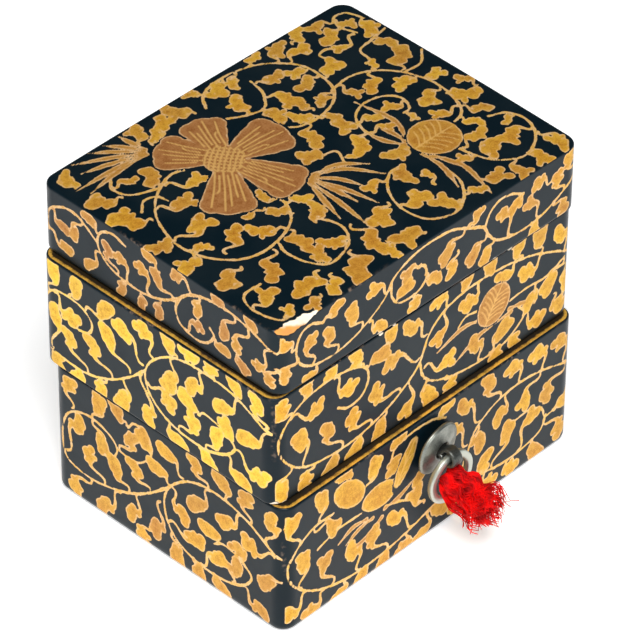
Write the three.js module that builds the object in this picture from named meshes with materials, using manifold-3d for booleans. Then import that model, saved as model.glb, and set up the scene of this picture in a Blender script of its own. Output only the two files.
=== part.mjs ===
// A small lacquered stacking box: a deep lower tray, an upper tray and a tall lid, with a pull ring on the front.
// Millimetres, +Z up. The origin is the middle of the lower tray's underside, and the ring is on the -Y face.

import * as THREE from 'three';
import { ConvexGeometry } from 'three/addons/geometries/ConvexGeometry.js';
import { mergeVertices } from 'three/addons/utils/BufferGeometryUtils.js';
import Module from 'manifold-3d';

// Driving dimensions: the three tiers. Each is a little different, because they were made by hand.
const LOWER = { length: 76, width: 58.5, height: 29.5 };
const UPPER = { length: 76.9, width: 58.3, height: 24.3 };
const LID = { length: 75.6, width: 59.4, height: 14.3 };
const WALL = 2.8;
const FLOOR = 3;
const CORNER_RADIUS = 3;
const SEAT_GAP = 0.3;

// How the loose tiers sit on each other: shifts in millimetres, turns in degrees about Z.
const UPPER_SEAT = { x: -0.1, y: 1.5, turn: -0.27 };
const LID_SEAT = { x: 0.55, y: 1.65, turn: -0.8 };

// Edge roundings, and the crown of the lid from its corners to its middle.
const BOTTOM_ROUND = 1.5;
const SEAM_ROUND = 0.6;
const RIM_ROUND = 0.35;
const LID_TOP_ROUND = 1.1;
const INNER_FILLET = 1;
const CROWN = 0.7;
const CROWN_RINGS = 4;

// The step under the upper tray, and the locating strip inside the lid.
const PLUG = { inset: 5, depth: 2, floorTop: 1 };
const STRIP = { outerInset: 4.4, innerInset: 6, depth: 3, height: 4, lidTop: 3 };

// The chip along the lid's top front edge: stations along X from the front left corner.
const CHIP_STATIONS = [
  { along: 0.6, inward: 2.1, drop: 2.5 },
  { along: 5, inward: 1.7, drop: 2.3 },
  { along: 12.5, inward: 0.25, drop: 0.3 },
];
const CHIP_MARGIN = 1;

// The ring fitting on the lower tray's front wall.
const FITTING_Z = 21.7;
const PLATE = { radius: 5.1, hole: 1.75, thickness: 0.7, dome: 0.8, tiltDegrees: 6, standOff: 0.9 };
const EYE = { reach: 4.5, holeRadius: 1.2, strip: 0.8, width: 2.2, neck: 1.7, leg: 4.2 };
const RING = { radius: 4.7, band: 1.5, thickness: 1.2, chamfer: 0.35 };

// The silk tuft: upright sections at distances out from the ring, drooping below the eye and swept to one side.
const TUFT_SWEEP = 0.18;
const TUFT_SECTIONS = [
  { out: -0.7, drop: 5, halfWidth: 1.6, halfHeight: 1.6 },
  { out: -0.4, drop: 5.1, halfWidth: 2.5, halfHeight: 2.4 },
  { out: 0.4, drop: 5.2, halfWidth: 2.9, halfHeight: 2.75 },
  { out: 1, drop: 5.5, halfWidth: 3.2, halfHeight: 3.1 },
  { out: 2.5, drop: 6.3, halfWidth: 3.5, halfHeight: 3.8 },
  { out: 5, drop: 7.7, halfWidth: 3.6, halfHeight: 4 },
  { out: 7.5, drop: 9.3, halfWidth: 3.7, halfHeight: 4.1 },
  { out: 9.3, drop: 10.4, halfWidth: 3.6, halfHeight: 3.8 },
  { out: 10.2, drop: 10.9, halfWidth: 2.4, halfHeight: 2.5 },
];

const CORNER_STEPS = 6;
const SIDE_STEPS = 6;
const ROUND_STEPS = 3;
const PLATE_SEGMENTS = 36;
const RING_SEGMENTS = 40;
const TUFT_SEGMENTS = 16;
const EYE_CURVE_STEPS = 8;
const QUARTER = Math.PI / 2;

const lowerFrontY = -LOWER.width / 2;
const upperBaseZ = LOWER.height + SEAT_GAP;
const lidBaseZ = upperBaseZ + UPPER.height + SEAT_GAP;

const wasm = await Module();
wasm.setup();

// Lacquered wood, grey metal and silk.
function material(color, roughness, metalness) {
  return new THREE.MeshStandardMaterial({ color, roughness, metalness });
}

// A closed solid for joining and cutting, from a geometry whose shared vertices are merged.
function toSolid(geometry) {
  const bare = geometry.index ? geometry.toNonIndexed() : geometry.clone();
  bare.deleteAttribute('normal');
  bare.deleteAttribute('uv');
  const merged = mergeVertices(bare, 1e-4);
  return new wasm.Manifold(new wasm.Mesh({
    numProp: 3,
    vertProperties: new Float32Array(merged.attributes.position.array),
    triVerts: new Uint32Array(merged.index.array),
  }));
}

// The geometry of a solid after it was joined or cut.
function fromSolid(solid) {
  const mesh = solid.getMesh();
  const geometry = new THREE.BufferGeometry();
  geometry.setAttribute('position', new THREE.BufferAttribute(new Float32Array(mesh.vertProperties), 3));
  geometry.setIndex(new THREE.BufferAttribute(new Uint32Array(mesh.triVerts), 1));
  geometry.computeVertexNormals();
  return geometry;
}

// Points of a rounded rectangle, set in from the full outline, counterclockwise seen from above.
function roundedOutline(size, inset) {
  const halfX = size.length / 2 - inset;
  const halfY = size.width / 2 - inset;
  const radius = Math.max(CORNER_RADIUS - inset, RIM_ROUND);
  const signs = [[1, 1], [-1, 1], [-1, -1], [1, -1]];
  const corners = signs.map(([sx, sy], corner) => Array.from({ length: CORNER_STEPS + 1 }, (_, step) => {
    const angle = QUARTER * (corner + step / CORNER_STEPS);
    const x = sx * (halfX - radius) + radius * Math.cos(angle);
    const y = sy * (halfY - radius) + radius * Math.sin(angle);
    return new THREE.Vector2(x, y);
  }));
  return corners.flatMap((arc, corner) => {
    const next = corners[(corner + 1) % corners.length][0];
    const last = arc[arc.length - 1];
    const side = Array.from({ length: SIDE_STEPS - 1 }, (_, step) =>
      last.clone().lerp(next, (step + 1) / SIDE_STEPS));
    return [...arc, ...side];
  });
}

// A quarter round in the plane of inset and height, from one angle to another.
function quarterRound(centreInset, centreZ, radius, fromAngle, toAngle) {
  return Array.from({ length: ROUND_STEPS + 1 }, (_, step) => {
    const angle = fromAngle + (toAngle - fromAngle) * step / ROUND_STEPS;
    return [centreInset + radius * Math.cos(angle), centreZ + radius * Math.sin(angle)];
  });
}

// One closed skin through rings of equal point counts, with a fan over the first and the last ring.
function loft(rings, firstMiddle, lastMiddle) {
  const count = rings[0].length;
  const points = [...rings.flat(), firstMiddle, lastMiddle];
  const index = [];
  for (let ring = 0; ring + 1 < rings.length; ring += 1) {
    for (let k = 0; k < count; k += 1) {
      const a = ring * count + k;
      const b = ring * count + (k + 1) % count;
      index.push(a, b, b + count, a, b + count, a + count);
    }
  }
  const lastRing = (rings.length - 1) * count;
  for (let k = 0; k < count; k += 1) {
    const next = (k + 1) % count;
    index.push(points.length - 2, next, k);
    index.push(points.length - 1, lastRing + k, lastRing + next);
  }
  const geometry = new THREE.BufferGeometry().setFromPoints(points);
  geometry.setIndex(index);
  return geometry;
}

// Rings of a profile of [inset, z] pairs carried around a tier's rounded outline.
function profileRings(size, profile) {
  return profile.map(([inset, z]) =>
    roundedOutline(size, inset).map((point) => new THREE.Vector3(point.x, point.y, z)));
}

// Outer wall, flat rim, inner wall and inner floor of a tray, from its outer bottom edge inwards.
function trayWall(size, bottomRound, floorTop) {
  const top = size.height;
  return [
    ...quarterRound(bottomRound, bottomRound, bottomRound, -QUARTER, -2 * QUARTER),
    ...quarterRound(RIM_ROUND, top - RIM_ROUND, RIM_ROUND, 2 * QUARTER, QUARTER),
    ...quarterRound(WALL - RIM_ROUND, top - RIM_ROUND, RIM_ROUND, QUARTER, 0),
    ...quarterRound(WALL + INNER_FILLET, floorTop + INNER_FILLET, INNER_FILLET, -2 * QUARTER, -QUARTER),
  ];
}

function lowerTrayGeometry() {
  const tray = loft(
    profileRings(LOWER, trayWall(LOWER, BOTTOM_ROUND, FLOOR)),
    new THREE.Vector3(0, 0, 0),
    new THREE.Vector3(0, 0, FLOOR),
  );
  const hole = new THREE.BoxGeometry(EYE.width + 2 * SEAT_GAP, 3 * WALL, EYE.neck + 2 * SEAT_GAP);
  hole.translate(0, lowerFrontY, FITTING_Z);
  return fromSolid(toSolid(tray).subtract(toSolid(hole)));
}

function upperTrayGeometry() {
  const step = [
    [PLUG.inset + RIM_ROUND, -PLUG.depth],
    [PLUG.inset, -PLUG.depth + RIM_ROUND],
    [PLUG.inset, 0],
  ];
  return loft(
    profileRings(UPPER, [...step, ...trayWall(UPPER, SEAM_ROUND, PLUG.floorTop)]),
    new THREE.Vector3(0, 0, -PLUG.depth),
    new THREE.Vector3(0, 0, PLUG.floorTop),
  );
}

// Height of the crowned top over the flat one: none at the corners, half of it at the middle of an edge.
function crownAt(x, y) {
  const u = 2 * x / LID.length;
  const v = 2 * y / LID.width;
  return CROWN * (1 - (u * u + v * v) / 2);
}

// A wedge that breaks the top front edge beside the front left corner, as the hull of a few stations.
function chipGeometry() {
  const edgeX = -LID.length / 2;
  const edgeY = -LID.width / 2;
  const points = CHIP_STATIONS.flatMap(({ along, inward, drop }) => [
    new THREE.Vector3(edgeX + along, edgeY + inward + CHIP_MARGIN * inward / drop, LID.height + CHIP_MARGIN),
    new THREE.Vector3(edgeX + along, edgeY - CHIP_MARGIN, LID.height - drop - CHIP_MARGIN * drop / inward),
    new THREE.Vector3(edgeX + along, edgeY - CHIP_MARGIN, LID.height + CHIP_MARGIN),
  ]);
  return new ConvexGeometry(points);
}

function lidGeometry() {
  const ceiling = LID.height - STRIP.lidTop;
  const inside = [
    ...quarterRound(WALL + INNER_FILLET, ceiling - INNER_FILLET, INNER_FILLET, QUARTER, 2 * QUARTER),
    [WALL, STRIP.height],
    [STRIP.innerInset, STRIP.height],
    [STRIP.innerInset, -STRIP.depth],
    [STRIP.outerInset, -STRIP.depth],
    [STRIP.outerInset, 0],
    ...quarterRound(SEAM_ROUND, SEAM_ROUND, SEAM_ROUND, -QUARTER, -2 * QUARTER),
  ];
  const topRound = quarterRound(LID_TOP_ROUND, LID.height - LID_TOP_ROUND, LID_TOP_ROUND, 2 * QUARTER, QUARTER);
  const raise = (point) => point.setZ(point.z + crownAt(point.x, point.y));
  const edgeRings = profileRings(LID, topRound).map((ring) => ring.map(raise));
  const edge = roundedOutline(LID, LID_TOP_ROUND);
  const crownRings = Array.from({ length: CROWN_RINGS }, (_, ring) => {
    const scale = 1 - (ring + 1) / (CROWN_RINGS + 1);
    return edge.map((point) => raise(new THREE.Vector3(point.x * scale, point.y * scale, LID.height)));
  });
  const lid = loft(
    [...profileRings(LID, inside), ...edgeRings, ...crownRings],
    new THREE.Vector3(0, 0, ceiling),
    new THREE.Vector3(0, 0, LID.height + CROWN),
  );
  return fromSolid(toSolid(lid).subtract(toSolid(chipGeometry())));
}

// A domed washer turned about its own Y axis, the dome towards -Y.
function plateGeometry() {
  const bulge = (radius) => -PLATE.dome * (1 - (radius / PLATE.radius) ** 2);
  const radii = [PLATE.hole, 2.8, 3.9, PLATE.radius];
  const back = radii.map((radius) => new THREE.Vector2(radius, bulge(radius)));
  const front = radii.map((radius) => new THREE.Vector2(radius, bulge(radius) - PLATE.thickness)).reverse();
  return new THREE.LatheGeometry([...front, ...back, front[0]].reverse(), PLATE_SEGMENTS);
}

// A strip folded into an eye, drawn in the plane of depth and height and given its width along X.
function eyeGeometry() {
  const outer = EYE.holeRadius + EYE.strip;
  const halfNeck = EYE.neck / 2;
  const neckAngle = Math.asin(halfNeck / outer);
  const legInside = EYE.reach + WALL + SEAT_GAP;
  const legEnd = legInside + EYE.strip;
  const shape = new THREE.Shape();
  shape.absarc(0, 0, outer, neckAngle, 2 * Math.PI - neckAngle, false);
  shape.lineTo(legInside, -halfNeck);
  shape.lineTo(legInside, -EYE.leg);
  shape.lineTo(legEnd, -EYE.leg);
  shape.lineTo(legEnd, EYE.leg);
  shape.lineTo(legInside, EYE.leg);
  shape.lineTo(legInside, halfNeck);
  shape.closePath();
  const hole = new THREE.Path();
  hole.absarc(0, 0, EYE.holeRadius, 0, 2 * Math.PI, true);
  shape.holes.push(hole);
  const options = { depth: EYE.width, bevelEnabled: false, curveSegments: 3 * EYE_CURVE_STEPS };
  const strip = new THREE.ExtrudeGeometry(shape, options);
  strip.translate(0, 0, -EYE.width / 2);
  const depthToY = new THREE.Matrix4().makeBasis(
    new THREE.Vector3(0, 1, 0),
    new THREE.Vector3(0, 0, 1),
    new THREE.Vector3(1, 0, 0),
  );
  return strip.applyMatrix4(depthToY);
}

// A flat band with broken edges, turned about Y, so that it hangs in the plane of the front wall.
function ringGeometry() {
  const halfBand = RING.band / 2;
  const halfThick = RING.thickness / 2;
  const flatBand = halfBand - RING.chamfer;
  const flatThick = halfThick - RING.chamfer;
  const section = [
    [halfBand, -flatThick], [halfBand, flatThick], [flatBand, halfThick], [-flatBand, halfThick],
    [-halfBand, flatThick], [-halfBand, -flatThick], [-flatBand, -halfThick], [flatBand, -halfThick],
    [halfBand, -flatThick],
  ];
  const profile = section.map(([across, through]) => new THREE.Vector2(RING.radius + across, through));
  return new THREE.LatheGeometry(profile, RING_SEGMENTS);
}

// The tuft as one skin through upright oval sections, from behind the ring outwards.
function tuftGeometry() {
  const middle = ({ out, drop }) => new THREE.Vector3(TUFT_SWEEP * out, -out, -drop);
  const rings = TUFT_SECTIONS.map((section) => Array.from({ length: TUFT_SEGMENTS }, (_, step) => {
    const angle = 2 * Math.PI * step / TUFT_SEGMENTS;
    const across = section.halfWidth * Math.cos(angle);
    const upward = section.halfHeight * Math.sin(angle);
    return middle(section).add(new THREE.Vector3(across, 0, upward));
  }));
  return loft(rings, middle(TUFT_SECTIONS[0]), middle(TUFT_SECTIONS[TUFT_SECTIONS.length - 1]));
}

function namedMesh(name, geometry, finish) {
  const mesh = new THREE.Mesh(geometry, finish);
  mesh.name = name;
  return mesh;
}

function tier(name, geometry, finish, z, seat) {
  const mesh = namedMesh(name, geometry, finish);
  mesh.position.set(seat.x, seat.y, z);
  mesh.rotation.z = THREE.MathUtils.degToRad(seat.turn);
  return mesh;
}

// Plate, eye, ring and tuft, around the point where the eye's shank meets the front wall.
function ringFitting() {
  const fitting = new THREE.Group();
  fitting.position.set(0, lowerFrontY, FITTING_Z);

  const plate = namedMesh('ring_plate', plateGeometry(), material(0x7f8278, 0.5, 0.9));
  plate.position.y = -PLATE.standOff;
  const tiltAxis = new THREE.Vector3(1, 0, 1).normalize();
  plate.setRotationFromAxisAngle(tiltAxis, THREE.MathUtils.degToRad(PLATE.tiltDegrees));

  const eye = namedMesh('ring_eye', eyeGeometry(), material(0x6f7268, 0.5, 0.9));
  eye.position.y = -EYE.reach;

  const ring = namedMesh('ring', ringGeometry(), material(0xb9bcb0, 0.35, 0.9));
  ring.position.set(0, -EYE.reach, -RING.radius);

  const tuft = namedMesh('tassel', tuftGeometry(), material(0xd80a0a, 0.9, 0));
  tuft.position.y = -EYE.reach;

  fitting.add(plate, eye, ring, tuft);
  return fitting;
}

const box = new THREE.Group();
box.add(
  tier('lower_tray', lowerTrayGeometry(), material(0x14191c, 0.25, 0), 0, { x: 0, y: 0, turn: 0 }),
  tier('upper_tray', upperTrayGeometry(), material(0x161b1e, 0.25, 0), upperBaseZ, UPPER_SEAT),
  tier('lid', lidGeometry(), material(0x0c1419, 0.2, 0), lidBaseZ, LID_SEAT),
  ringFitting(),
);

export default box;
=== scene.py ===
"""A small lacquered stacking box with a gold scroll pattern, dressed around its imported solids.

The three tiers are dense skins that carry the painted scroll as signed distances, so the gold has crisp
brushed edges. Lengths in the classes are millimetres, and meshes are written in metres.
"""

import logging
from dataclasses import dataclass, field
from enum import Enum

import bpy
import numpy as np
from mathutils import Matrix


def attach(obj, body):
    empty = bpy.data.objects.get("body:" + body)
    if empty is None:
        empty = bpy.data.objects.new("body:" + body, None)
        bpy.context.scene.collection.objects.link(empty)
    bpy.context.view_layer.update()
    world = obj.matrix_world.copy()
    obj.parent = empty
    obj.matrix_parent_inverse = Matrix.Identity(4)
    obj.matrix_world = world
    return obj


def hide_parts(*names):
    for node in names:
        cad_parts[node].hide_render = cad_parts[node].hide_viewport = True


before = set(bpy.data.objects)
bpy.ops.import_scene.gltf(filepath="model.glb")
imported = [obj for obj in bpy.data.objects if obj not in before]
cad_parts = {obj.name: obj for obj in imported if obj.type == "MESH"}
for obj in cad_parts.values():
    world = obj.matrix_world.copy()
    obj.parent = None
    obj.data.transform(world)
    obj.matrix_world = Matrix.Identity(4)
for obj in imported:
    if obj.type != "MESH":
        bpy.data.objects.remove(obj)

Array = np.ndarray
Point = tuple[float, float]

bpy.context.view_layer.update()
MM = 0.001
FAR = 9.0
log = logging.getLogger("stacking_box")


class Side(Enum):
    """The four upright faces of a tier, in the order of its outline."""

    FRONT = 0
    RIGHT = 1
    BACK = 2
    LEFT = 3


class Zone(Enum):
    """Which finish a strip of a tier's skin takes."""

    PAINTED = 0
    RIM = 1
    INSIDE = 2


class Channel(Enum):
    """Named values that a tier's skin carries at each vertex."""

    GOLD = "gold_distance"
    VEIN = "vein_distance"
    TONE = "gold_tone"
    WARMTH = "gold_warmth"
    ARRIS = "arris_distance"
    CHIP = "chip_depth"


# Curves and distances of the painted scroll.


def smooth_curve(points: tuple[Point, ...], step: float = 0.14) -> Array:
    """Carries a smooth curve through points.

    Each stretch is a cubic whose end slopes are half the difference of the neighbouring points.

    Args:
        points: The points, in order.
        step: About how far apart the samples are, in millimetres.

    Returns:
        Samples of the curve, one row each.
    """
    knots = np.asarray(points, float)
    padded = np.vstack([2 * knots[0] - knots[1], knots, 2 * knots[-1] - knots[-2]])
    before, start, end, after = padded[:-3], padded[1:-2], padded[2:-1], padded[3:]
    count = max(3, int(np.ceil(np.linalg.norm(end - start, axis=1).max() / step)))
    t = np.linspace(0, 1, count, endpoint=False)[None, :, None]
    before, start, end, after = (a[:, None, :] for a in (before, start, end, after))
    curve = 0.5 * (
        2 * start
        + (end - before) * t
        + (2 * before - 5 * start + 4 * end - after) * t**2
        + (3 * start - before - 3 * end + after) * t**3
    )
    return np.vstack([curve.reshape(-1, 2), knots[-1:]])


def nearest_disc(places: Array, centres: Array, radii: Array) -> Array:
    """Signed distance to the union of discs: the least of distance to a centre minus its radius.

    Args:
        places: Points, one row each.
        centres: Disc centres, one row each.
        radii: Disc radii.

    Returns:
        One distance for each point, below nought inside.
    """
    gaps = np.linalg.norm(places[:, None, :] - centres[None, :, :], axis=2) - radii[None, :]
    return gaps.min(axis=1)


def melt(first: Array, second: Array, reach: float) -> Array:
    """Joins two distances with a rounded inner corner: their least, less a bump where they are close."""
    close = np.clip(reach - np.abs(first - second), 0, None) / reach
    return np.minimum(first, second) - close**2 * reach / 4


def turned(vectors: Array, degrees: float) -> Array:
    """Turns flat vectors anticlockwise by an angle in degrees."""
    angle = np.radians(degrees)
    spin = np.array([[np.cos(angle), -np.sin(angle)], [np.sin(angle), np.cos(angle)]])
    return np.asarray(vectors, float) @ spin.T


class LeafKind(Enum):
    """Ways of painting a leaf: each is rows of place along, place across and radius of melted discs."""

    SLIPPER = ((-1.7, 0.1, 1.15), (-0.9, -0.15, 1.5), (0.1, 0.05, 1.5), (1.0, 0.3, 1.05), (1.7, 0.5, 0.7))
    SPOON = ((-1.5, -0.6, 1.05), (-1.1, 0.6, 1.1), (-0.2, 0, 1.55), (0.8, -0.15, 1.15), (1.5, -0.35, 0.75))
    SOCK = ((-1.5, 0.55, 1.0), (-0.7, 0.0, 1.3), (0.3, -0.2, 1.25), (0.85, 1.2, 0.62), (1.1, -0.45, 0.72))
    PAW = ((-1.35, 1.0, 0.85), (-1.25, -0.85, 0.95), (-0.25, 0.05, 1.35), (0.7, 0.55, 0.85))
    BOOT = (
        (-1.15, -0.9, 0.95), (-0.6, 0.45, 1.25), (0.25, 0.15, 1.15), (0.85, 1.35, 0.66), (0.45, -1.0, 0.62),
    )
    MITTEN = ((-1.5, 0.3, 0.95), (-0.5, -0.1, 1.15), (0.6, 0.35, 1.0), (-0.75, -1.35, 0.65))
    HEART = ((-1.25, 0.95, 0.85), (-1.1, -0.85, 0.8), (-0.1, 0.0, 1.15), (0.95, -0.3, 0.8))
    CLOUD = (
        (-1.9, -0.4, 0.75), (-0.85, 0.2, 1.1), (0.4, 0.1, 1.15), (1.35, -0.75, 0.7), (0.25, 1.35, 0.55),
    )
    BEAN = ((-1.4, 0.35, 1.0), (-0.4, -0.15, 1.1), (0.7, 0.1, 1.0), (1.4, 0.75, 0.7))


LEFT_KINDS = (LeafKind.BOOT, LeafKind.SLIPPER, LeafKind.SOCK, LeafKind.SPOON)
FRONT_KINDS = (LeafKind.BOOT, LeafKind.SOCK, LeafKind.PAW, LeafKind.BOOT, LeafKind.SPOON)
TOP_KINDS = (LeafKind.MITTEN, LeafKind.HEART, LeafKind.CLOUD, LeafKind.BEAN)


@dataclass(frozen=True)
class Leaf:
    """A comma leaf: a lobed head, and a wavy tail that ends on its vine."""

    head: Point
    tip: Point
    size: float = 1.0
    bend: float = 1.0
    tone: float = 0.0
    kind: LeafKind = LeafKind.SLIPPER
    swing: float = 12.0
    ruffle: float = 1.0

    def span(self) -> tuple[Array, Array]:
        """Lowest and highest corner of the leaf, with a margin for its lobes."""
        ends = np.array([self.head, self.tip])
        return ends.min(axis=0) - 6, ends.max(axis=0) + 6

    def distance(self, places: Array) -> Array:
        """Signed distance to the leaf: ruffled, melted head discs, melted with a tapering wavy tail.

        Args:
            places: Points, one row each.

        Returns:
            One distance for each point.
        """
        head, tip = np.array(self.head), np.array(self.tip)
        reach = max(np.linalg.norm(tip - head), 0.5)
        axis = (tip - head) / reach
        lobes = np.array(self.kind.value) * self.size
        spine = turned(axis[None], self.swing * self.bend)[0]
        across = np.array([-spine[1], spine[0]]) * self.bend
        centres = head + lobes[:, :1] * spine + lobes[:, 1:2] * across
        body = np.full(len(places), FAR)
        for centre, radius in zip(centres, lobes[:, 2]):
            body = melt(body, np.linalg.norm(places - centre, axis=1) - radius, 0.2)
        offset = places - head
        way = np.arctan2(offset @ across, offset @ spine)
        phase = 3.1 * self.head[0] + 1.7 * self.head[1]
        waves = 0.15 * np.sin(5 * way + phase) + 0.1 * np.sin(8 * way + 2.3 * phase)
        body += self.ruffle * self.size * waves
        t = np.linspace(0, 1, 22)[:, None]
        start = head + self.size * (0.9 * spine + 0.55 * across)
        pull = min(0.55 * reach, 3.0)
        first = start + pull * turned(spine[None], 38 * self.bend)[0]
        last = tip - pull * turned(axis[None], 56 * self.bend)[0]
        tail = (1 - t) ** 3 * start + 3 * t * (1 - t) ** 2 * first + 3 * t**2 * (1 - t) * last + t**3 * tip
        girth = 0.28 + 0.42 * self.size * (1 - t[:, 0]) ** 3.5
        return melt(body, nearest_disc(places, tail, girth), 0.3)


@dataclass(frozen=True)
class Stroke:
    """A brushed line along a smooth curve, as wide all along or swelling like a blade."""

    points: tuple[Point, ...]
    half_width: float = 0.295
    blade: bool = False
    tone: float = 0.05

    def pieces(self) -> list[tuple[Array, Array]]:
        """Short runs of discs along the curve, so that each is tested only near itself."""
        curve = smooth_curve(self.points)
        t = np.linspace(0, 1, len(curve))
        swell = 0.9 + 0.1 * np.cos(9 * t)
        if self.blade:
            swell = np.maximum(np.sin(np.pi * t**1.1) ** 0.9, np.maximum(0.95 - 3 * t, 0.3))
        radii = self.half_width * swell
        return [(curve[k:k + 26], radii[k:k + 26]) for k in range(0, len(curve), 25)]


@dataclass(frozen=True)
class Oval:
    """A veined bud or broad leaf: an ellipse with a midrib and side veins."""

    centre: Point
    half_length: float
    half_width: float
    turn: float
    tone: float = 0.45
    veins: int = 4

    def distance(self, places: Array) -> Array:
        """Distance to the ellipse, near its edge: the share a point is past it, times the half width."""
        local = turned(places - np.array(self.centre), -self.turn)
        share = np.hypot(local[:, 0] / self.half_length, local[:, 1] / self.half_width)
        return (share - 1) * self.half_width

    def vein_strokes(self) -> list[Stroke]:
        """The midrib, and pairs of side veins that leave it at a slant; none on a plain bud."""
        if not self.veins:
            return []
        rows = [[(-0.95, 0.0), (0.0, 0.03), (0.9, 0.0)]]
        for k in range(self.veins):
            start = -0.75 + 1.35 * k / max(self.veins, 1)
            for way in (1, -1):
                rows.append([(start, 0.0), (start + 0.3, 0.4 * way), (start + 0.42, 0.72 * way)])
        size = np.array([self.half_length, self.half_width])
        drawn = [turned(np.array(row) * size, self.turn) + np.array(self.centre) for row in rows]
        return [Stroke(tuple(map(tuple, row)), 0.1) for row in drawn]


@dataclass(frozen=True)
class Flower:
    """An open flower of lobed petals around a hatched disc."""

    centre: Point
    petals: tuple[tuple[float, float, float], ...]
    disc: float = 4.0
    tone: float = 1.0

    def petal_discs(self, angle: float, length: float, width: float) -> tuple[Array, Array]:
        """Discs of one petal: a row that widens outwards, and three lobes at its tip.

        Args:
            angle: Way the petal points, in degrees.
            length: How far it reaches from the middle.
            width: Its greatest width.

        Returns:
            Disc centres and radii.
        """
        t = np.linspace(0, 1, 14)
        lobe = 0.27 * width
        row = np.stack([1.5 + t * (length - 0.5 * width - 1.5), 0 * t], axis=1)
        girth = 0.9 + (0.5 * width - 0.9) * t**0.75
        spread = np.array([[0, 0], [-0.6, 0.3 * width], [-0.6, -0.3 * width]])
        tips = np.array([[length - lobe, 0]]) + spread
        centres = turned(np.vstack([row, tips]), angle) + np.array(self.centre)
        return centres, np.concatenate([girth, np.full(3, lobe)])

    def vein_strokes(self) -> list[Stroke]:
        """Fans of fine lines along the petals, and a hatch over the disc."""
        drawn = []
        for angle, length, width in self.petals:
            for n, k in enumerate(np.linspace(-0.8, 0.8, 6)):
                end = 0.95 - 0.12 * abs(k) - 0.2 * (n % 3 == 1) - 0.08 * (n % 2)
                start = [self.disc * (0.9 + 0.25 * (n % 2)), k * 2.3]
                middle = [0.55 * length, k * 0.33 * width + 0.1]
                run = np.array([start, middle, [length * end, k * 0.42 * width]])
                drawn.append(turned(run, angle) + np.array(self.centre))
        for k in np.linspace(-0.8, 0.8, 8):
            half = self.disc * np.sqrt(1 - k * k) * 0.9
            for angle in (35, 125):
                run = np.array([[-half, k * self.disc], [0, k * self.disc + 0.15], [half, k * self.disc]])
                drawn.append(turned(run, angle) + np.array(self.centre))
        return [Stroke(tuple(map(tuple, row)), 0.12) for row in drawn]


@dataclass(frozen=True)
class FaceLayout:
    """What is painted on one face, from the face's middle, and up from its foot on an upright face."""

    vines: tuple[tuple[Point, ...], ...] = ()
    leaves: tuple[tuple[float, ...], ...] = ()
    blades: tuple[tuple[Point, ...], ...] = ()
    ovals: tuple[Oval, ...] = ()
    flowers: tuple[Flower, ...] = ()
    warmth: float = 0.5
    dullness: float = 0.0
    leaf_size: float = 1.0
    fill_gap: float = FAR
    ruffle: float = 0.3
    kinds: tuple[LeafKind, ...] = LEFT_KINDS


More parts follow.
